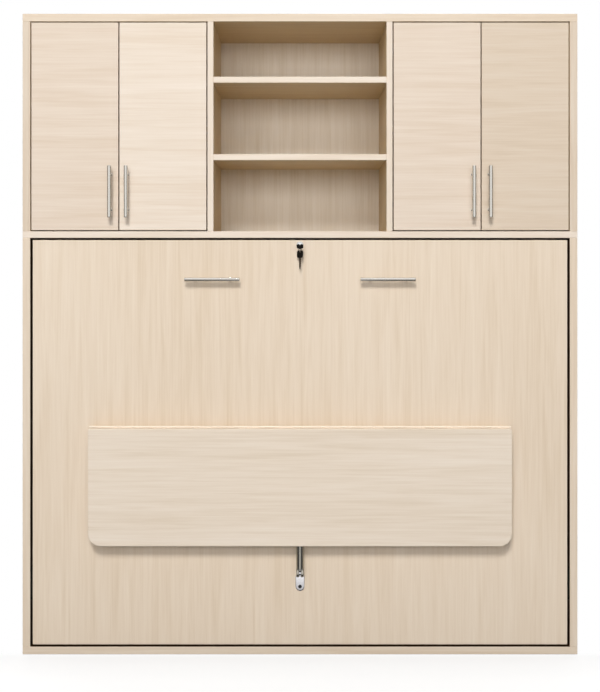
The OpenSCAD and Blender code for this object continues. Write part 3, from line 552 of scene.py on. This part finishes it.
routed.data = cut_mesh
bpy.data.objects.remove(cutter)
print("mid board faces after the pocket", len(cut_mesh.polygons))

# %% [markdown]
# ## Doors, bed panel and desk leaf
# The doors and the tall face panel lie flush in their openings, so their eased edges show beside
# dark gaps. On the doors and the desk the maple runs level, and on the bed panel it stands
# upright. The desk leaf is the same sheet, with its two lower corners cut round. The upper face of
# the ledger that it hangs from is darker, as painted shade: a darker line behind the leaf.

# %% Doors, panel and leaf
DOOR_NUMBERS = (1, 2, 3, 4)
for number in DOOR_NUMBERS:
    low, high = corners(f"door_{number}")
    # Doors 1 and 3 are a little darker and door 4 darker still: painted shade.
    tones = {2: DOOR_TONES, 4: PAINTED_SHADE_DARKER_TONES}.get(number, DOOR_TONES_PAINTED_SHADE)
    finish = laminate(f"maple_laminate_door_{number}", "x", *tones, offset=20.0 + 1.7 * number)
    piece(f"door_{number}_leaf", [slab(low, high, "y", EDGE_EASE)], finish, f"door_{number}")

panel_finish = laminate("maple_laminate_panel", "z", *PANEL_TONES, offset=31.0, contrast=1.25)
piece("bed_face", [slab(*corners("face_panel"), "y", EDGE_EASE)], panel_finish, "face_panel")

LEAF_CORNER = 45 * MM
LEAF_TOP_CORNER = 4 * MM
LEAF_EASE = 1.6 * MM
desk_finish = laminate("maple_laminate_desk", "x", "#F0E4D5", "#E8D9C7", "#DAC8B1", offset=37.0)
leaf_low, leaf_high = corners("desk_leaf")
leaf = slab(leaf_low, leaf_high, "y", LEAF_EASE, [LEAF_TOP_CORNER] * 2 + [LEAF_CORNER] * 2, steps=12)
piece("desk_top", [leaf], desk_finish, "desk_leaf")
ledger = piece("desk_ledger", [slab(*corners("desk_rail"), "y", EDGE_EASE)], desk_finish, "desk_rail")
# Painted shade: the ledger's upper face is darker, a dark line behind the leaf.
painted_shade_ledger_top = laminate("ledger_top_painted_shade", "x", "#CBB592", "#C2AC89", "#B49C78", 41.0, shine=0.2)
finish_faces(ledger.data, painted_shade_ledger_top, [UPWARD])
print("leaf", np.round(leaf_high - leaf_low, 3))

# %% [markdown]
# ## Handles
# Each handle is a steel bar with rounded ends on two posts, and each post widens to a small foot
# where it meets the board. A lathe makes all of these, so each is a turned profile.

# %% Handles
POST_R = 4.5 * MM
FOOT_R = 6.5 * MM
FOOT_T = 1.5 * MM
FLARE_T = 1 * MM
BAR_END_EASE = 1.6 * MM
POST_PITCH = 128 * MM


def bar_handle(low, high, along):
    """A bar along one axis, and two posts that run from the bar back to the face behind."""
    c = AXES[along]
    radius = (high[2] - low[2]) / 2 if along == "x" else (high[0] - low[0]) / 2
    middle = (low + high) / 2
    centre = np.array([middle[0], low[1] + radius, middle[2]])
    half = (high[c] - low[c]) / 2
    surfaces = [turned(rod_profile(-half, half, radius, BAR_END_EASE), centre, along)]
    run = high[1] - centre[1]
    post = [(0, POST_R), (run - FOOT_T - FLARE_T, POST_R), (run - FOOT_T, FOOT_R), (run, FOOT_R)]
    for side in (-1, 1):
        place = centre.copy()
        place[c] += side * POST_PITCH / 2
        surfaces.append(turned(post, place, "y"))
    return surfaces


for number in DOOR_NUMBERS:
    handle = bar_handle(*corners(f"door_handle_{number}"), "z")
    piece(f"door_bar_{number}", handle, SATIN_NICKEL_UPRIGHT, f"door_handle_{number}")

bed_low, bed_high = corners("bed_handles")
BED_BAR_L = 200 * MM
bed_bars = []
for x0, x1 in ((bed_low[0], bed_low[0] + BED_BAR_L), (bed_high[0] - BED_BAR_L, bed_high[0])):
    bed_bars += bar_handle(np.array([x0, *bed_low[1:]]), np.array([x1, *bed_high[1:]]), "x")
piece("bed_bars", bed_bars, SATIN_NICKEL_LEVEL, "bed_handles")
print("handles", len(DOOR_NUMBERS), "on doors and 2 on the bed")

# %% [markdown]
# ## Lock and keys
# A cam lock near the top of the panel keeps the bed shut. Its bezel is a domed chrome ring round
# the plug's rosette.

# %% Lock
lock_low, lock_high = corners("lock_body")
lock_z = (lock_low[2] + lock_high[2]) / 2
BEZEL_R = (lock_high[2] - lock_low[2]) / 2
BEZEL_T = FRONT - lock_low[1]
BARREL_R = 9.5 * MM
lock_centre = np.array([0.0, FRONT, lock_z])
# The bezel's dome, as shares of its thickness and radius, from the panel out and back in.
BEZEL_SHARES = ((0, 1), (0.3, 1), (0.7, 0.93), (0.95, 0.82), (1, 0.72), (0.9, 0.60), (0.5, 0.54))
bezel = turned([(-out * BEZEL_T, share * BEZEL_R) for out, share in BEZEL_SHARES], lock_centre, "y")
barrel = turned(rod_profile(0, lock_high[1] - FRONT, BARREL_R), lock_centre, "y")
piece("lock_bezel", [bezel, barrel], CHROME, "lock_body")
print("lock at", np.round(lock_centre, 4))

# %% [markdown]
# One key stands in the lock. Its moulded bow folds flat against it: two lobes above, and a stem
# behind it down to the wire ring, from which a second key hangs.

# %% Key in the lock
key_low, key_high = corners("lock_key")
KEY_TOP, HEAD_H, HEAD_T, LOBE_R, FOOT_R_KEY = 3 * MM, 16 * MM, 4.4 * MM, 6 * MM, 4 * MM
head_top = lock_z + KEY_TOP


def lobed_outline(inset):
    """The folded bow's outline: arcs of circles for two lobes above and two round feet below."""
    half = (key_high[0] - key_low[0]) / 2
    lobe_x, foot_x = half - LOBE_R, half - FOOT_R_KEY
    lobe_z, foot_z = head_top - LOBE_R, head_top - HEAD_H + FOOT_R_KEY
    corners_of = [(lobe_x, lobe_z, LOBE_R, 0, 172), (-lobe_x, lobe_z, LOBE_R, 8, 180),
                  (-foot_x, foot_z, FOOT_R_KEY, 180, 270), (foot_x, foot_z, FOOT_R_KEY, 270, 360)]
    arcs = []
    for cx, cz, radius, start, end in corners_of:
        angle = np.radians(np.linspace(start, end, 13))
        circle = np.stack([np.cos(angle), np.sin(angle)], -1)
        arcs.append(np.array([cx, cz]) + (radius - inset) * circle)
    return np.concatenate(arcs)


def upright_ring(outline, level):
    """An outline in X and Z as one ring of points at a depth."""
    x, z = outline.T
    return np.stack([x, np.full(len(x), level), z], -1)


def plate_of(outline, front, back, ease):
    """A flat piece between two depths, cut to outline(inset), whose front and back edges are eased."""
    turn = np.linspace(0, math.pi / 2, 5)
    inset, depth = ease * (1 - np.sin(turn)), ease * (1 - np.cos(turn))
    runs = list(zip(inset, front + depth)) + list(zip(inset[::-1], back - depth[::-1]))
    return loft(np.array([upright_ring(outline(draw), level) for draw, level in runs]))


STEM_HALF, STEM_BACK, SHANK_R = 2.1 * MM, 22 * MM, 3 * MM
HEAD_EASE, STEM_EASE, SHANK_EASE = 1.0 * MM, 0.5 * MM, 0.4 * MM
head = plate_of(lobed_outline, key_low[1], key_low[1] + HEAD_T, HEAD_EASE)
stem = slab((-STEM_HALF, key_low[1] + HEAD_T - 0.5 * MM, key_low[2]),
            (STEM_HALF, key_low[1] + STEM_BACK, head_top - LOBE_R), "x", STEM_EASE, [2 * MM] * 4)
shank = turned(rod_profile(0, key_high[1] - key_low[1] - STEM_BACK + 1 * MM, SHANK_R, SHANK_EASE),
               np.array([0.0, key_low[1] + STEM_BACK - 1 * MM, lock_z]), "y")
piece("key_in_lock", [head, stem], BLACK_PLASTIC, "lock_key")
piece("key_shank", [shank], CHROME, "lock_key")
print("key stands out", round(FRONT - key_low[1], 4))

# %% [markdown]
# The ring is a wire carried once round a circle, through the slot of the spare key's bow. It
# hangs down from the stem, so its own top is the highest point of the node.


# %% Key ring
def wire_ring(centre, radius, wire, sides=10, around=48):
    """A torus in the upright X-Z plane: a small circle carried round a large one."""
    u = np.linspace(0, 2 * math.pi, around, endpoint=False)[:, None]
    v = np.linspace(0, 2 * math.pi, sides, endpoint=False)[None, :]
    reach = radius + wire * np.cos(v)
    verts = np.stack([centre[0] + reach * np.cos(u), centre[1] + wire * np.sin(v) + 0 * u,
                      centre[2] + reach * np.sin(u)], -1)
    return closed_tube(verts)


spare_top = corners("spare_key")[1][2]
RING_R, WIRE_R, RING_DEPTH = 6 * MM, 0.9 * MM, 22 * MM
ring_centre = np.array([0.0, FRONT - RING_DEPTH, spare_top - RING_R - WIRE_R])
piece("key_ring", [wire_ring(ring_centre, RING_R, WIRE_R)], WIRE_STEEL, "spare_key")
print("ring at", np.round(ring_centre, 4))

# %% [markdown]
# The spare key is a flat steel blank with a moulded bow. Both are one closed outline given a
# thickness, as a press would stamp them. The teeth are a saw wave down one side of the blade.

# %% Spare key
BOW_W, BOW_H, BOW_CORNER, BOW_T = 25 * MM, 26 * MM, 6 * MM, 2 * MM
SLOT_HALF, SLOT_TOP, SLOT_LOW = 4.5 * MM, 1.4 * MM, 5.2 * MM
BLADE_HALF, BLADE_L, TIP_L, BLADE_T, TOOTH = 3.7 * MM, 42 * MM, 11 * MM, 1.4 * MM, 1.2 * MM
TEETH, TEETH_FROM, TEETH_TO = 5, 0.3, 0.97
BOW_EASE, BLADE_EASE, RING_TO_BOW = 0.4 * MM, 0.3 * MM, 2.6 * MM
SPARE_TURN = math.radians(-32)
bow_hang = ring_centre - [0, 0, RING_TO_BOW]


def hang(surface, turn, centre):
    """Turn a flat piece about Z and move it to where it hangs."""
    verts, faces = surface
    x, y, z = verts.T
    cos, sin = math.cos(turn), math.sin(turn)
    return np.stack([x * cos - y * sin, x * sin + y * cos, z], -1) + centre, faces


def bow_outline(inset):
    """The bow's rounded rectangle and its slot as one closed line: round the outside, down a cut a
    hair wide at the middle of the top, and round the slot."""
    outer = rounded_outline((-BOW_W / 2, -BOW_H), (BOW_W / 2, 0), [BOW_CORNER] * 4, inset, 8)
    slot = rounded_outline((-SLOT_HALF, -SLOT_LOW), (SLOT_HALF, -SLOT_TOP), [1 * MM] * 4, 0, 4)
    hair = 2e-5
    outside = np.concatenate([outer[8:], outer[:8]])
    inside = np.concatenate([slot[4:], slot[:4]])[::-1] * [1 + inset / SLOT_HALF, 1]
    cut = np.array([[hair, -inset], [hair, -SLOT_TOP]])
    return np.concatenate([outside, cut, inside, cut[::-1] * [-1, 1]])


bow = plate_of(bow_outline, -BOW_T / 2, BOW_T / 2, BOW_EASE)
piece("spare_key_bow", [hang(bow, SPARE_TURN, bow_hang)], BLACK_PLASTIC, "spare_key")

cuts = np.linspace(0, 1, 37)
saw = TOOTH * np.abs(((cuts * TEETH) % 1) - 0.5) * 2 * ((cuts > TEETH_FROM) & (cuts < TEETH_TO))
right_edge = np.stack([BLADE_HALF - saw, -cuts * (BLADE_L - TIP_L)], -1)
tip = np.array([[1 * MM, -BLADE_L], [-1 * MM, -BLADE_L]])
left_edge = [[-BLADE_HALF, TIP_L - BLADE_L], [-BLADE_HALF, 0]]
blade_line = np.concatenate([right_edge, tip, left_edge])[::-1] - [0, BOW_H - 1 * MM]


def blade_outline(inset):
    """The blade's outline, narrowed about its middle line by inset on both sides."""
    return blade_line * [1 - inset / BLADE_HALF, 1]


blade = plate_of(blade_outline, -BLADE_T / 2, BLADE_T / 2, BLADE_EASE)
piece("spare_key_blade", [hang(blade, SPARE_TURN, bow_hang)], BLADE_STEEL, "spare_key")
print("spare key hangs from", np.round(bow_hang, 4))

# %% [markdown]
# ## Desk strut
# The strut that carries the open desk is a dark plated tube, whose lower end forks round a
# tongue of polished steel, with a pin through both. A dark pan head screw holds the round end
# of the tongue's tab to the panel.

# %% Strut tube, tab and screw
tube_low, tube_high = corners("strut_tube")
tab_low, tab_high = corners("strut_bracket")
TUBE_R = (tube_high[0] - tube_low[0]) / 2
BORE_R = 5.2 * MM
FORK_R, FORK_HALF, SLOT_GAP, FORK_TOP = TUBE_R - 0.2 * MM, 13 * MM, 3.4 * MM, 18 * MM
pivot = np.array([0.0, (tube_low[1] + tube_high[1]) / 2, tube_low[2] + FORK_R])
length = tube_high[2] - pivot[2]
tube_profile = [(FORK_TOP - 1 * MM, BORE_R), (FORK_TOP - 1 * MM, TUBE_R - 1 * MM), (FORK_TOP, TUBE_R),
                (length - 2 * MM, TUBE_R), (length, TUBE_R - 2 * MM), (length, BORE_R)]
sleeve = [turned(tube_profile, pivot, "z")]
for side in (-1, 1):
    x0, x1 = sorted((side * SLOT_GAP, side * FORK_HALF))
    sleeve.append(turned(rod_profile(x0, x1, FORK_R, 1.2 * MM), pivot, "x"))
    sleeve.append(slab(pivot + [x0, -FORK_R + 2 * MM, 0], pivot + [x1, FORK_R - 2 * MM, FORK_TOP],
                       "z", 0.4 * MM, [2 * MM] * 4))
piece("strut_sleeve", sleeve, SMOKED_NICKEL, "strut_tube")

TAB_HALF = (tab_high[0] - tab_low[0]) / 2
TAB_T, NECK_HALF, TONGUE_HALF, TONGUE_R, PIN_R = 3 * MM, 10 * MM, 3 * MM, 9 * MM, 4 * MM
tab_hole_z = tab_low[2] + TAB_HALF
TAB_EASE = 1.4 * MM
tab = slab((tab_low[0], FRONT - TAB_T, tab_low[2]),
           (tab_high[0], FRONT - 0.01 * MM, pivot[2] - FORK_R), "y", TAB_EASE,
           [2 * MM] * 2 + [TAB_HALF - 0.05 * MM] * 2, steps=14)
neck = slab((-NECK_HALF, FRONT - TAB_T + 0.1 * MM, pivot[2] - FORK_R - 2 * MM),
            (NECK_HALF, FRONT - 0.1 * MM, tab_high[2]), "y", 0.6 * MM, [2 * MM] * 4)
tongue = slab((-TONGUE_HALF, pivot[1] - TONGUE_R, pivot[2] - TONGUE_R),
              (TONGUE_HALF, FRONT - TAB_T + 0.3 * MM, pivot[2] + TONGUE_R), "x", 0.5 * MM,
              [2 * MM, TONGUE_R, TONGUE_R, 2 * MM], steps=10)
pin = turned(rod_profile(-FORK_HALF, FORK_HALF, PIN_R, 0.3 * MM), pivot, "x")
piece("strut_tab", [tab, neck, tongue, pin], TAB_STEEL, "strut_bracket")
SCREW_R = 6.4 * MM
screw = [(0, SCREW_R), (-0.6 * MM, SCREW_R), (-1.8 * MM, 0.75 * SCREW_R), (-2.2 * MM, 0.45 * SCREW_R),
         (-2.2 * MM, 0.32 * SCREW_R), (-1.0 * MM, 0.26 * SCREW_R)]
piece("tab_screw", [turned(screw, np.array([0, FRONT - TAB_T, tab_hole_z]), "y")], BLACK_OXIDE,
      body=BODY_OF["strut_bracket"])
print("strut pivot", np.round(pivot, 4))

# %% [markdown]
# ## Mattress and straps
# The mattress stands on its long edge while the bed is shut. Its cover is quilted in diamonds
# on both faces. A grid over each face is lifted by the quilting: the height falls to the
# stitching where either of two crossed sets of lines passes, and it falls to nothing at the
# edge, so the faces meet the border cleanly.

# %% Quilted faces
mat_low, mat_high = corners("mattress")
MAT_CORNER = 40 * MM
QUILT = 150 * MM
CROWN = 7 * MM
TAPE_R = 5 * MM
GRID_X, GRID_Z = 190, 136
EDGE_FADE = 0.03


def mattress_face(level, sign):
    """One quilted face: a grid whose points are pulled in to the round corners, and raised by
    crown times the distance from the nearest stitch line, fading out at the edge."""
    u, v = np.meshgrid(np.linspace(-1, 1, GRID_X), np.linspace(-1, 1, GRID_Z))
    half = (mat_high - mat_low) / 2 - TAPE_R * np.array([1, 0, 1])
    middle = (mat_high + mat_low) / 2
    x, z = u * half[0], v * half[2]
    over_x = np.maximum(np.abs(x) - half[0] + MAT_CORNER, 0)
    over_z = np.maximum(np.abs(z) - half[2] + MAT_CORNER, 0)
    reach = np.maximum(over_x, over_z)
    both = np.sqrt(over_x ** 2 + over_z ** 2)
    shrink = np.where(both > 1e-9, reach / np.maximum(both, 1e-9), 1)
    x = np.sign(x) * (np.abs(x) - over_x * (1 - shrink))
    z = np.sign(z) * (np.abs(z) - over_z * (1 - shrink))
    a, b = (x + z) / QUILT, (x - z) / QUILT
    dip = np.minimum(np.abs(a - np.round(a)), np.abs(b - np.round(b))) * 2
    edge = np.clip((1 - np.maximum(np.abs(u), np.abs(v))) / EDGE_FADE, 0, 1)
    lift = CROWN * np.sqrt(np.clip(dip, 0, 1)) * edge
    y = level + sign * lift
    verts = np.stack([middle[0] + x, y, middle[2] + z], -1).reshape(-1, 3)
    index = np.arange(GRID_X * GRID_Z).reshape(GRID_Z, GRID_X)
    quads = np.stack([index[:-1, :-1], index[:-1, 1:], index[1:, 1:], index[1:, :-1]], -1)
    return verts, [tuple(q) for q in quads.reshape(-1, 4).tolist()]


print("quilting diamonds across", round((mat_high[0] - mat_low[0]) / QUILT, 1))

# %% [markdown]
# Between the seams the sides bulge a little, and a taped edge runs round each face. The side is
# the face's outline carried through the depth, and the tape is a small circle carried round it.


# %% Sides and taped edges
def mattress_outline(inset):
    """The mattress as seen from the front, drawn in by inset."""
    return rounded_outline(mat_low[[0, 2]], mat_high[[0, 2]], [MAT_CORNER] * 4, inset, 14)


def border(levels, insets):
    """The mattress's side wall: its outline at each level, drawn in by that level's inset."""
    rings = [upright_ring(mattress_outline(inset), level) for level, inset in zip(levels, insets)]
    return loft(np.array(rings))


BULGE = 6 * MM
step = np.linspace(0, 1, 17)
bulge = BULGE * (1 - np.sin(np.pi * step)) + 1 * MM
front_level, back_level = mat_low[1] + CROWN * 0.9, mat_high[1] - CROWN * 0.9
wall_levels = front_level + (back_level - front_level) * step
quilted = [border(wall_levels, bulge), mattress_face(front_level - 0.5 * MM, -1),
           mattress_face(back_level + 0.5 * MM, 1)]
mattress_piece = piece("quilted_mattress", quilted, TICKING, "mattress", smooth=60)


def edge_tape(level):
    """A piped edge: a small circle carried round the mattress's outline."""
    path = mattress_outline(TAPE_R)
    ahead = np.roll(path, -1, 0) - np.roll(path, 1, 0)
    normal = np.stack([ahead[:, 1], -ahead[:, 0]], -1) / np.linalg.norm(ahead, axis=1)[:, None]
    angle = np.linspace(0, 2 * math.pi, 8, endpoint=False)
    x = path[:, 0:1] + normal[:, 0:1] * TAPE_R * np.cos(angle)
    z = path[:, 1:2] + normal[:, 1:2] * TAPE_R * np.cos(angle)
    y = np.broadcast_to(level + TAPE_R * np.sin(angle), x.shape)
    return closed_tube(np.stack([x, y, z], -1))


both_edges = [edge_tape(front_level + TAPE_R), edge_tape(back_level - TAPE_R)]
tapes = piece("mattress_edge_tape", both_edges, TICKING, "mattress")
print("mattress", np.round(mat_high - mat_low, 3))

# %% [markdown]
# The straps are nylon webbing. Each is a flat band from the frame over the mattress and back,
# two offset paths with a small bend radius at each corner.

# %% Straps
strap_low, strap_high = corners("mattress_straps")
STRAP_W, STRAP_T, STRAP_BEND = 40 * MM, 2 * MM, 14 * MM


def strap_band(x0, x1):
    """A U-shaped band: rounded path down one edge, over the face and up the other, two skins deep."""
    def path(offset):
        y0, y1 = strap_low[1], strap_high[1] - offset
        z0, z1 = strap_low[2] + offset, strap_high[2] - offset
        r = STRAP_BEND - offset
        quarter = np.linspace(0, math.pi / 2, 8)
        low_turn = np.stack([y1 - r + r * np.sin(quarter), z0 + r - r * np.cos(quarter)], -1)
        high_turn = np.stack([y1 - r + r * np.cos(quarter), z1 - r + r * np.sin(quarter)], -1)
        return np.concatenate([[[y0, z0]], low_turn, high_turn, [[y0, z1]]])
    outer, inner = path(0), path(STRAP_T)
    corners_of = ((x0, outer), (x1, outer), (x1, inner), (x0, inner))
    return loft(np.stack([np.insert(line, 0, x, axis=1) for x, line in corners_of], 1))


bands = [strap_band(strap_low[0], strap_low[0] + STRAP_W),
         strap_band(strap_high[0] - STRAP_W, strap_high[0])]
piece("strap_bands", bands, WEBBING, "mattress_straps")
print("straps", len(bands))

# %% [markdown]
# ## Finishes of the pieces that stay as the frame made them
# Rails, slats, plates, hinges, gas springs, legs and the adjustable shelves already have their
# true shape, so they keep it and only take their real finish.

# %% Finish the frame's own pieces
FINISHES = {
    # The lower back panel takes the bay's painted shade, and the cupboard shelves and wall rails the
    # niches' painted shade.
    "cupboard_shelves": painted_niche_shade_level, "upper_back_panel": painted_light_niche_back, "lower_back_panel": painted_shade_bay_facing,
    "wall_rails": painted_niche_shade_level, "bed_side_rails": TIMBER_UPRIGHT, "bed_end_rails": TIMBER,
    "slat_bearers": TIMBER, "slats": TIMBER_UPRIGHT,
    "glides": BLACK_PLASTIC, "desk_bumpers": BLACK_PLASTIC,
    "leg_left": BLACK_ENAMEL, "leg_right": BLACK_ENAMEL, "lock_plug": CHROME,
    "lift_tube_left": BLACK_ENAMEL, "lift_tube_right": BLACK_ENAMEL,
    "pivot_plates": BLACK_ENAMEL, "bed_pivot_plates": BLACK_ENAMEL,
    "desk_hinge_fixed": HINGE_PAINTED_HIGHLIGHT, "desk_hinge_moving": HINGE_PAINTED_HIGHLIGHT,
}
for node, obj in frame["nodes"].items():
    finish = FINISHES.get(node, ZINC)
    if node in BOARDS or obj.hide_render:
        continue
    obj.data.materials.clear()
    obj.data.materials.append(finish)
print("nodes finished as they are", sum(not obj.hide_render for obj in frame["nodes"].values()))

# %% [markdown]
# ## Floor
# The photograph is a cut-out on white with a short soft shadow in front of the base. Here the
# bed stands on a wide sheet of grey paint, which keeps that shadow.

# %% Floor
FLOOR_HALF = 30.0
floor_points = [(x * FLOOR_HALF, y * FLOOR_HALF, 0) for x, y in ((-1, -1), (1, -1), (1, 1), (-1, 1))]
floor_mesh = bpy.data.meshes.new("studio_floor")
floor_mesh.from_pydata(floor_points, [], [(0, 1, 2, 3)])
floor = bpy.data.objects.new("studio_floor", floor_mesh)
bpy.context.collection.objects.link(floor)
floor_material, paint, floor_shader = new_material("studio_floor_paint")
wire(paint, floor_shader, Base_Color=linear("#8C8C8C"), Roughness=0.9)
floor_mesh.materials.append(floor_material)
print("floor", 2 * FLOOR_HALF, "m wide")

# %% [markdown]
# What the camera sees of the paint gets a glow that brings it up to white, so that only its
# shadows show. Further off than the shadows reach, and behind the bed's front, it is plain white.

# %% The floor as the camera sees it
WHITE = (1, 1, 1, 1)
SMOOTH = {"interpolation_type": "SMOOTHSTEP"}
LARGER = {"operation": "MAXIMUM"}
FLOOR_GLOW = 0.70
FRONT_BLEND = 0.02
WHITE_FROM, WHITE_AT = 1.4, 3.0
place = add(paint, "TexCoord").outputs["Object"]
depth = add(paint, "SeparateXYZ", Vector=place).outputs["Y"]
camera_glow = add(paint, "Emission", Color=WHITE, Strength=FLOOR_GLOW)
near = add(paint, "AddShader", _0=floor_shader.outputs[0], _1=camera_glow.outputs[0])
white_seen = add(paint, "Emission", Color=WHITE, Strength=1.0)
behind = add(paint, "MapRange", Value=depth, From_Min=FRONT - FRONT_BLEND,
             From_Max=FRONT + FRONT_BLEND)
reach = add(paint, "VectorMath", {"operation": "LENGTH"}, _0=place)
far = add(paint, "MapRange", SMOOTH, Value=reach.outputs["Value"],
          From_Min=WHITE_FROM, From_Max=WHITE_AT)
pure = add(paint, "Math", LARGER, _0=behind.outputs["Result"], _1=far.outputs["Result"])
camera_floor = add(paint, "MixShader", Fac=pure.outputs[0], _1=near.outputs[0],
                   _2=white_seen.outputs[0])
print("floor is plain white from", WHITE_AT, "m")

# %% [markdown]
# Metal sees a simple room instead of the paint, so that the bars are bright ahead and dark at
# their sides. In it the floor is white behind the bed, dim in front of it, and has one lit patch
# there, narrower than it is deep, which the strut mirrors and the bed's bars do not.

# %% The floor as metal sees it
ROOM_GREY = 0.12
PATCH_GLOW, PATCH_AHEAD, PATCH_SQUEEZE = 1.6, 1.5, 1.7
PATCH_CORE, PATCH_RADIUS = 0.15, 0.95
squeezed = add(paint, "VectorMath", {"operation": "MULTIPLY"}, _0=place,
               _1=(PATCH_SQUEEZE, 1, 1))
from_patch = add(paint, "VectorMath", {"operation": "DISTANCE"},
                 _0=squeezed.outputs["Vector"], _1=(0, FRONT - PATCH_AHEAD, 0))
patch = add(paint, "MapRange", SMOOTH, Value=from_patch.outputs["Value"],
            From_Min=PATCH_CORE, From_Max=PATCH_RADIUS, To_Min=PATCH_GLOW, To_Max=ROOM_GREY)
mirrored = add(paint, "Math", LARGER, _0=patch.outputs["Result"],
               _1=behind.outputs["Result"])
mirror_glow = add(paint, "Emission", Color=WHITE, Strength=mirrored.outputs[0])
rays = add(paint, "LightPath")
plain_or_mirror = add(paint, "MixShader", Fac=rays.outputs["Is Glossy Ray"],
                      _1=floor_shader.outputs[0], _2=mirror_glow.outputs[0])
total = add(paint, "MixShader", Fac=rays.outputs["Is Camera Ray"],
            _1=plain_or_mirror.outputs[0], _2=camera_floor.outputs[0])
floor_output = next(node for node in paint.nodes if node.type == "OUTPUT_MATERIAL")
wire(paint, floor_output, Surface=total.outputs[0])
print("floor nodes", len(paint.nodes))

# %% [markdown]
# ## Sky
# The camera sees plain white. The light of the sky is dim in front, where the lamps are, and
# brighter behind, so that the back and the sides are seen too. Metal mirrors the white sweep
# behind the bed, a bright wall and ceiling in front, and dim sides.

# %% Sky
SKY_STRENGTH = 0.05
SKY_BEHIND = 1.25
ROOM_FRONT = 1.0
world = bpy.data.worlds.new("studio_sky")
bpy.context.scene.world = world
world.use_nodes = True
sky = world.node_tree
sky.nodes.clear()
sky_rays = add(sky, "LightPath")
facing = add(sky, "SeparateXYZ", Vector=add(sky, "TexCoord").outputs["Generated"])
# Each smooth rise: the side that a direction leans to, where the rise starts and ends, its levels.
RISES = (("Y", -0.05, 0.45, SKY_STRENGTH, SKY_BEHIND), ("Y", -0.45, -0.7, ROOM_GREY, ROOM_FRONT),
         ("Y", 0.15, 0.45, 0, 1), ("Z", 0.4, 0.7, 0, 1))
fill, ahead, sweep, above = [
    add(sky, "MapRange", SMOOTH, Value=facing.outputs[side], From_Min=start,
        From_Max=end, To_Min=low, To_Max=high).outputs["Result"]
    for side, start, end, low, high in RISES]
wall_or_sweep = add(sky, "Math", LARGER, _0=ahead, _1=sweep).outputs[0]
room = add(sky, "Math", LARGER, _0=wall_or_sweep, _1=above).outputs[0]
plain_sky = add(sky, "Background", Color=WHITE, Strength=fill)
mirrored_sky = add(sky, "Background", Color=WHITE, Strength=room)
lit = add(sky, "MixShader", Fac=sky_rays.outputs["Is Glossy Ray"],
          _1=plain_sky.outputs[0], _2=mirrored_sky.outputs[0])
seen_sky = add(sky, "Background", Color=WHITE, Strength=1.0)
shown = add(sky, "Math", LARGER, _0=sky_rays.outputs["Is Camera Ray"],
            _1=sky_rays.outputs["Is Transmission Ray"])
mixed = add(sky, "MixShader", Fac=shown.outputs[0], _1=lit.outputs[0],
            _2=seen_sky.outputs[0])
add(sky, "OutputWorld", Surface=mixed.outputs[0])
print("sky nodes", len(sky.nodes))

# %% [markdown]
# ## Lamps
# Three soft lamps stand in for the studio's. The key is high, in front and a little to the left,
# and throws the shadows under the handles and the leaf. A wide, low strip straight ahead fills
# the niches and leaves their tops and sides dark. A small lamp overhead makes the shadow on the
# floor. Metal doesn't mirror the first two, whose sheen the photograph doesn't show.


# %% Lamps
def area_lamp(name, place, target, width, height, watts):
    """A soft lamp of a width and height at a place, turned to face a target."""
    data = bpy.data.lights.new(name, "AREA")
    data.shape = "RECTANGLE"
    data.size, data.size_y = width, height
    data.energy = watts
    lamp = bpy.data.objects.new(name, data)
    bpy.context.collection.objects.link(lamp)
    lamp.location = place
    aim = np.array(target) - np.array(place)
    tilt = math.atan2(math.hypot(aim[0], aim[1]), -aim[2])
    lamp.rotation_euler = (tilt, 0, math.atan2(-aim[0], aim[1]))
    return lamp


key = area_lamp("key_lamp", (-1.0, FRONT - 10.0, 8.8), (0, FRONT, 1.2), 2.8, 2.8, watts=1030)
strip = area_lamp("front_strip", (-0.4, FRONT - 8.0, 3.05), (0, FRONT, 1.4), 9.0, 2.2, watts=250)
key.visible_glossy = strip.visible_glossy = False
area_lamp("top_lamp", (0, 0.12, 8.0), (0, 0.12, 0), 0.7, 0.7, watts=150)
